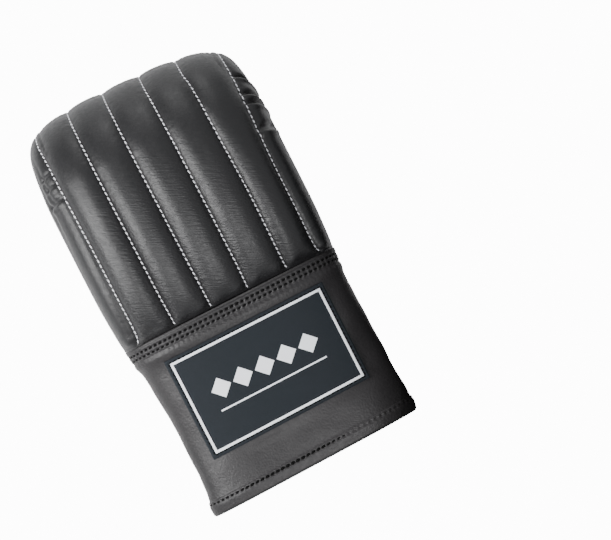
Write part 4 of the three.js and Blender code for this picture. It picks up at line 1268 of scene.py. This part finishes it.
bm = placed_grid(ELASTIC_COLUMNS, ELASTIC_ROWS,
                 lambda i, j: elastic_outer(elastic_angles[i], elastic_ss[j]))
thicken(bm, lambda i, j: palm_point(elastic_angles[i], elastic_ss[j], ELASTIC_INSIDE))
elastic = as_object("elastic_band", bm)
dress(elastic, "wrist_elastic", elastic_cloth)

# %% [markdown]
# ## Thumb
#
# The empty thumb is a leather pouch round an oval hole in the palm, and it lies folded along the palm.
# It is drawn as rings from the hole to the tip, with the creases of an empty pouch pressed in, and two
# rows of stitches run round its heel.

# %% Thumb pouch
THUMB = tracks("heel crotch low high half", [
    (0.0, -0.36, 0.36, 1.0, 1.0, 0.93),
    (0.08, -0.37, 0.375, 0.62, 0.97, 0.98),
    (0.17, -0.31, 0.39, 0.3, 0.94, 1.0),
    (0.28, -0.15, 0.43, 0.08, 0.93, 1.0),
    (0.42, 0.1, 0.5, 0.02, 0.92, 0.96),
    (0.56, 0.36, 0.6, 0.02, 0.92, 0.86),
    (0.7, 0.59, 0.71, 0.04, 0.9, 0.7),
    (0.82, 0.77, 0.83, 0.1, 0.84, 0.54),
    (0.92, 0.91, 0.935, 0.22, 0.72, 0.36),
    (1.0, 0.985, 0.99, 0.4, 0.6, 0.16),
])
THUMB_FOLDS = [  # at, run, turn, drift, width, depth as a share of the leather
    (0.52, 0.46, -119, -10, 11, 2.4),
    (0.26, 0.2, -72, -16, 8, 1.4),
    (0.33, 0.22, -55, -14, 7, 0.9),
]
FLOOR_GAP = SEWN_GAP * 0.7


def thumb_fold(at, turn):
    deep = 0.0
    for f_at, run, f_turn, drift, width, depth in THUMB_FOLDS:
        along = (at - f_at) / run
        away = ((turn - f_turn - drift * along + 180) % 360 - 180) / width
        deep += THUMB_LEATHER * depth * max(0, 1 - along * along) * math.exp(-away * away)
    return deep


@functools.lru_cache(maxsize=4096)
def thumb_axis(at, inset):
    ends = []
    for end, inward, level in (("heel", inset, "low"), ("crotch", -inset, "high")):
        place = THUMB_HOLE + THUMB_AHEAD * (THUMB_REACH * THUMB[end](at) + inward)
        under = palm_underside(place.x, place.y) - LAID_GAP
        place.z = FLOOR_GAP + (under - FLOOR_GAP) * THUMB[level](at) + (inward if at > 0.3 else 0)
        ends.append(place)
    return (ends[0] + ends[1]) / 2, (ends[1] - ends[0]) / 2


def thumb_point(turn, at, inset, closed):
    """closed: how far the ring is drawn together to close the tip, from 0 to 1."""
    middle, reach = thumb_axis(at, inset)
    half = max(1, THUMB_WIDTH / 2 * THUMB["half"](at) - inset) * (1 - closed)
    fold = 0 if inset else thumb_fold(at, turn)
    radians = math.radians(turn)
    point = middle + THUMB_ACROSS * half * math.cos(radians) * (1 - fold / max(half, 12))
    point += reach * math.sin(radians) * (1 - closed)
    point.z += fold
    under = palm_underside(point.x, point.y) - LAID_GAP
    point.z = under if at == 0 else clamp(point.z, FLOOR_GAP + inset, under - inset)
    return point


THUMB_COLUMNS, THUMB_ROWS, TIP_ROWS = 96, 76, 4


def thumb_spot(column, row, inset):
    turn = 360 * (column % THUMB_COLUMNS) / THUMB_COLUMNS - 180
    at = min(1, row / THUMB_ROWS) * (0.86 if inset else 1)
    closed = max(0, row - THUMB_ROWS) / TIP_ROWS
    return thumb_point(turn, at, inset, 1 - math.sqrt(1 - closed * closed))


bm = placed_grid(THUMB_COLUMNS, THUMB_ROWS + TIP_ROWS, lambda i, j: thumb_spot(i, j, 0))
set_pull(bm, lambda co, i, j: 0.3 + 0.7 * bump_at(j / THUMB_ROWS, 0.1, 0.15))
thicken(bm, lambda i, j: thumb_spot(i, j, THUMB_LEATHER))
bmesh.ops.remove_doubles(bm, verts=bm.verts[:], dist=0.002)
bmesh.ops.recalc_face_normals(bm, faces=bm.faces[:])
thumb = as_object("thumb_leather", bm)
dress(thumb, "thumb_pouch", palm_skin)

for at in (0.13, 0.19):
    heel = [(mix(-168, -12, k / 120), at) for k in range(121)]
    sew_below(lambda turn, at: thumb_point(turn, at, 0, 0), heel, 0.01, "thumb")

# %% [markdown]
# ## Finger roll
#
# The pad's finger end rolls under into a smooth, firm bolster that the fingers grip. It is D-shaped
# seen from the palm, with pleats where its corners turn.

# %% Finger roll
ROLL = tracks("fold floor top", [
    (0.0, 0.0, -0.05, 1.0),
    (0.35, 0.05, -0.05, 1.0),
    (0.6, 0.19, 0.0, 1.0),
    (0.8, 0.38, 0.14, 1.0),
    (0.92, 0.55, 0.34, 0.98),
    (0.98, 0.7, 0.52, 0.93),
    (1.0, 0.8, 0.66, 0.86),
])
ROLL_PLEATS = [(0.74, 0.9, -0.05), (0.84, 1.5, -0.02), (0.92, 1.3, 0.01)]  # across, deep, slant


@functools.lru_cache(maxsize=1024)
def roll_section(share):
    x = share * (PAD_WIDTH - 2 * ROLL_INSET) / 2
    crest, edge = pad_crest(1), pad_edge(1)
    slope = (crest.z - edge.z) / (crest.y - edge.y)
    fullness = depth_share(angle_of(x / (HALF_PAD * PAD["wide"](1)), PAD_ROUND), PAD_ROUND)
    tip = mix(edge.y, crest.y, fullness) - SEWN_GAP
    return x, mix(GLOVE_LENGTH - ROLL_REACH, tip, ROLL["fold"](abs(share))), tip, edge, slope


def roll_pleat(share, side):
    """How deep the pleats at the roll's corners press in, in millimetres; side is 1 at the finger end."""
    deep = sum(depth * bump_at(abs(share), place + slant * side, 0.018)
               for place, depth, slant in ROLL_PLEATS)
    return deep * mix(0.15, 1, ease(0.5 + side))


def roll_point(turn, share):
    x, fold, tip, edge, slope = roll_section(share)
    height = math.sin(turn)
    roundness = 5 if height > 0 else 2.4
    side = math.copysign(abs(math.cos(turn)) ** (2 / roundness), math.cos(turn))
    height = math.copysign(abs(height) ** (2 / roundness), height)
    y = mix(fold, tip, 0.5 + 0.5 * side)
    ceiling = min(palm_underside(x, y) - LAID_GAP, edge.z + (y - edge.y) * slope - SEWN_GAP - 0.1)
    level = mix(ROLL["floor"](abs(share)), ROLL["top"](abs(share)), 0.5 + 0.5 * height)
    pleat = roll_pleat(share, side)
    y -= pleat * max(0, side)
    return Vector((x, y, max(0, ceiling * level + pleat * max(0, -height))))


ROLL_COLUMNS, ROLL_ROWS = 96, 180
roll_shares = even_steps(lambda a: roll_point(-QUARTER_TURN, a), -1, 1, ROLL_ROWS)
bm = placed_grid(ROLL_COLUMNS, ROLL_ROWS,
                 lambda i, j: roll_point(2 * math.pi * i / ROLL_COLUMNS, roll_shares[j]))
bmesh.ops.remove_doubles(bm, verts=bm.verts[:], dist=0.002)
rims = [edge for edge in bm.edges if edge.is_boundary]
bmesh.ops.holes_fill(bm, edges=rims, sides=0)
bmesh.ops.recalc_face_normals(bm, faces=bm.faces[:])
roll = as_object("finger_roll_cover", bm)
dress(roll, "finger_roll", pad_skin)

# %% [markdown]
# ## The thread as two pieces
#
# All the white stitches are one mesh and all the black ones another, because a thousand small objects
# would be slow to handle and the thread stands for no solid of the frame.

# %% Hand over the thread
for name, rows, material in (("white_stitches", white_rows, white_thread),
                             ("black_stitches", black_rows, black_thread)):
    stitches = as_object(name, rows)
    stitches.data.materials.append(material)
    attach(stitches, "root")
    print(name, len(stitches.data.polygons), "faces")

# %% [markdown]
# ## Floor, light and camera
#
# The glove lies on a plain white sweep under soft studio light. Black gloss shows what it reflects, so
# the lights are softboxes: one low at the picture's left draws the highlights along the channels, one
# high over the wrist lifts the cuff, a weak one beyond the fingers lifts the pad's top, and the side away
# from them stays dark.

# %% Floor
# Matt paper, evenly white: to the camera it is overexposed, as in the photo, and it gives the glove no
# more light than paper would.
floor_paint, tree, surface = new_material("white paper sweep", Base_Color=linear("#e6e6e6"), Roughness=0.9,
                                          Emission_Color=linear("#ffffff"), Emission_Strength=0.3)
overexposed = add(tree, "Emission", Color=linear("#ffffff"), Strength=13.0)
seen = add(tree, "LightPath").outputs["Is Camera Ray"]
paper = add(tree, "MixShader", _0=seen, _1=surface.outputs["BSDF"], _2=overexposed.outputs["Emission"])
tree.links.new(paper.outputs["Shader"], tree.nodes["Material Output"].inputs["Surface"])
sheet = bmesh.new()
bmesh.ops.create_grid(sheet, x_segments=1, y_segments=1, size=4)
mesh = bpy.data.meshes.new("floor")
sheet.to_mesh(mesh)
sheet.free()
floor = bpy.data.objects.new("floor", mesh)
floor.location.z = -0.5 * MM  # just under the glove, so that the two don't share a plane
floor.data.materials.append(floor_paint)
bpy.context.scene.collection.objects.link(floor)

# %% Lights
world = bpy.data.worlds.new("studio")
world.use_nodes = True
bpy.context.scene.world = world
backdrop = world.node_tree.nodes["Background"]
backdrop.inputs["Color"].default_value = linear("#f2f4f7")
backdrop.inputs["Strength"].default_value = 0.75
# The picture's own axes on the table. The glove lies turned by 27 degrees in it.
IMAGE_RIGHT = Vector((0.891, -0.454, 0))
IMAGE_UP = Vector((0.454, 0.891, 0))
AIM = Vector((0.0472, -0.0206, 0.03))  # the point of the glove's table at the middle of the picture


def softbox(name, right, up, height, size, power):
    """A square softbox that faces the glove, placed along the picture's axes, in metres and watts."""
    lamp = bpy.data.lights.new(name, "AREA")
    lamp.size = size
    lamp.energy = power
    light = bpy.data.objects.new(name, lamp)
    light.location = IMAGE_RIGHT * right + IMAGE_UP * up + Vector((0, 0, height))
    light.rotation_euler = (-light.location).to_track_quat("-Z", "Y").to_euler()
    light.visible_camera = False
    bpy.context.scene.collection.objects.link(light)


softbox("low softbox", -0.385, -0.17, 0.44, 0.4, 5.5)
softbox("cuff softbox", 0.32, -0.68, 1.5, 0.5, 9)
softbox("finger softbox", -0.25, 0.85, 0.38, 0.45, 1.8)

# %% [markdown]
# A photographer would stand a black flag beside the glove to keep its far flank dark. Here it is a block
# of matt black card that the camera doesn't see and that casts no shadow, so it shows only as what the
# gloss mirrors.

# %% Black flag
flag_paint, tree, surface = new_material("black flag card", Base_Color=linear("#050505"), Roughness=1.0)
card = bmesh.new()
facing = Matrix.Rotation(math.atan2(IMAGE_RIGHT.y, IMAGE_RIGHT.x), 4, "Z")
beside_glove = Matrix.Translation(AIM + IMAGE_RIGHT * 0.13 + Vector((0, 0, 0.005)))
bmesh.ops.create_cube(card, size=1, matrix=beside_glove @ facing @ Matrix.Diagonal((0.15, 0.34, 0.07, 1)))
mesh = bpy.data.meshes.new("flag")
card.to_mesh(mesh)
card.free()
flag = bpy.data.objects.new("flag", mesh)
flag.data.materials.append(flag_paint)
flag.visible_camera = flag.visible_shadow = flag.visible_transmission = False
bpy.context.scene.collection.objects.link(flag)

# %% [markdown]
# The camera looks straight down from far away, as the photo does, turned so that the glove lies as the
# photo shows it. Its view is 353 mm wide.

# %% Camera
LENS, SENSOR = 200.0, 36.0
VIEW_WIDTH = 353.2 * MM
camera_data = bpy.data.cameras.new("camera")
camera_data.lens, camera_data.sensor_width = LENS, SENSOR
camera = bpy.data.objects.new("camera", camera_data)
camera.location = AIM + Vector((0, 0, VIEW_WIDTH * LENS / SENSOR))
camera.rotation_euler = (0, 0, math.atan2(IMAGE_RIGHT.y, IMAGE_RIGHT.x))
camera_data.clip_end = 50
bpy.context.scene.collection.objects.link(camera)
bpy.context.scene.camera = camera
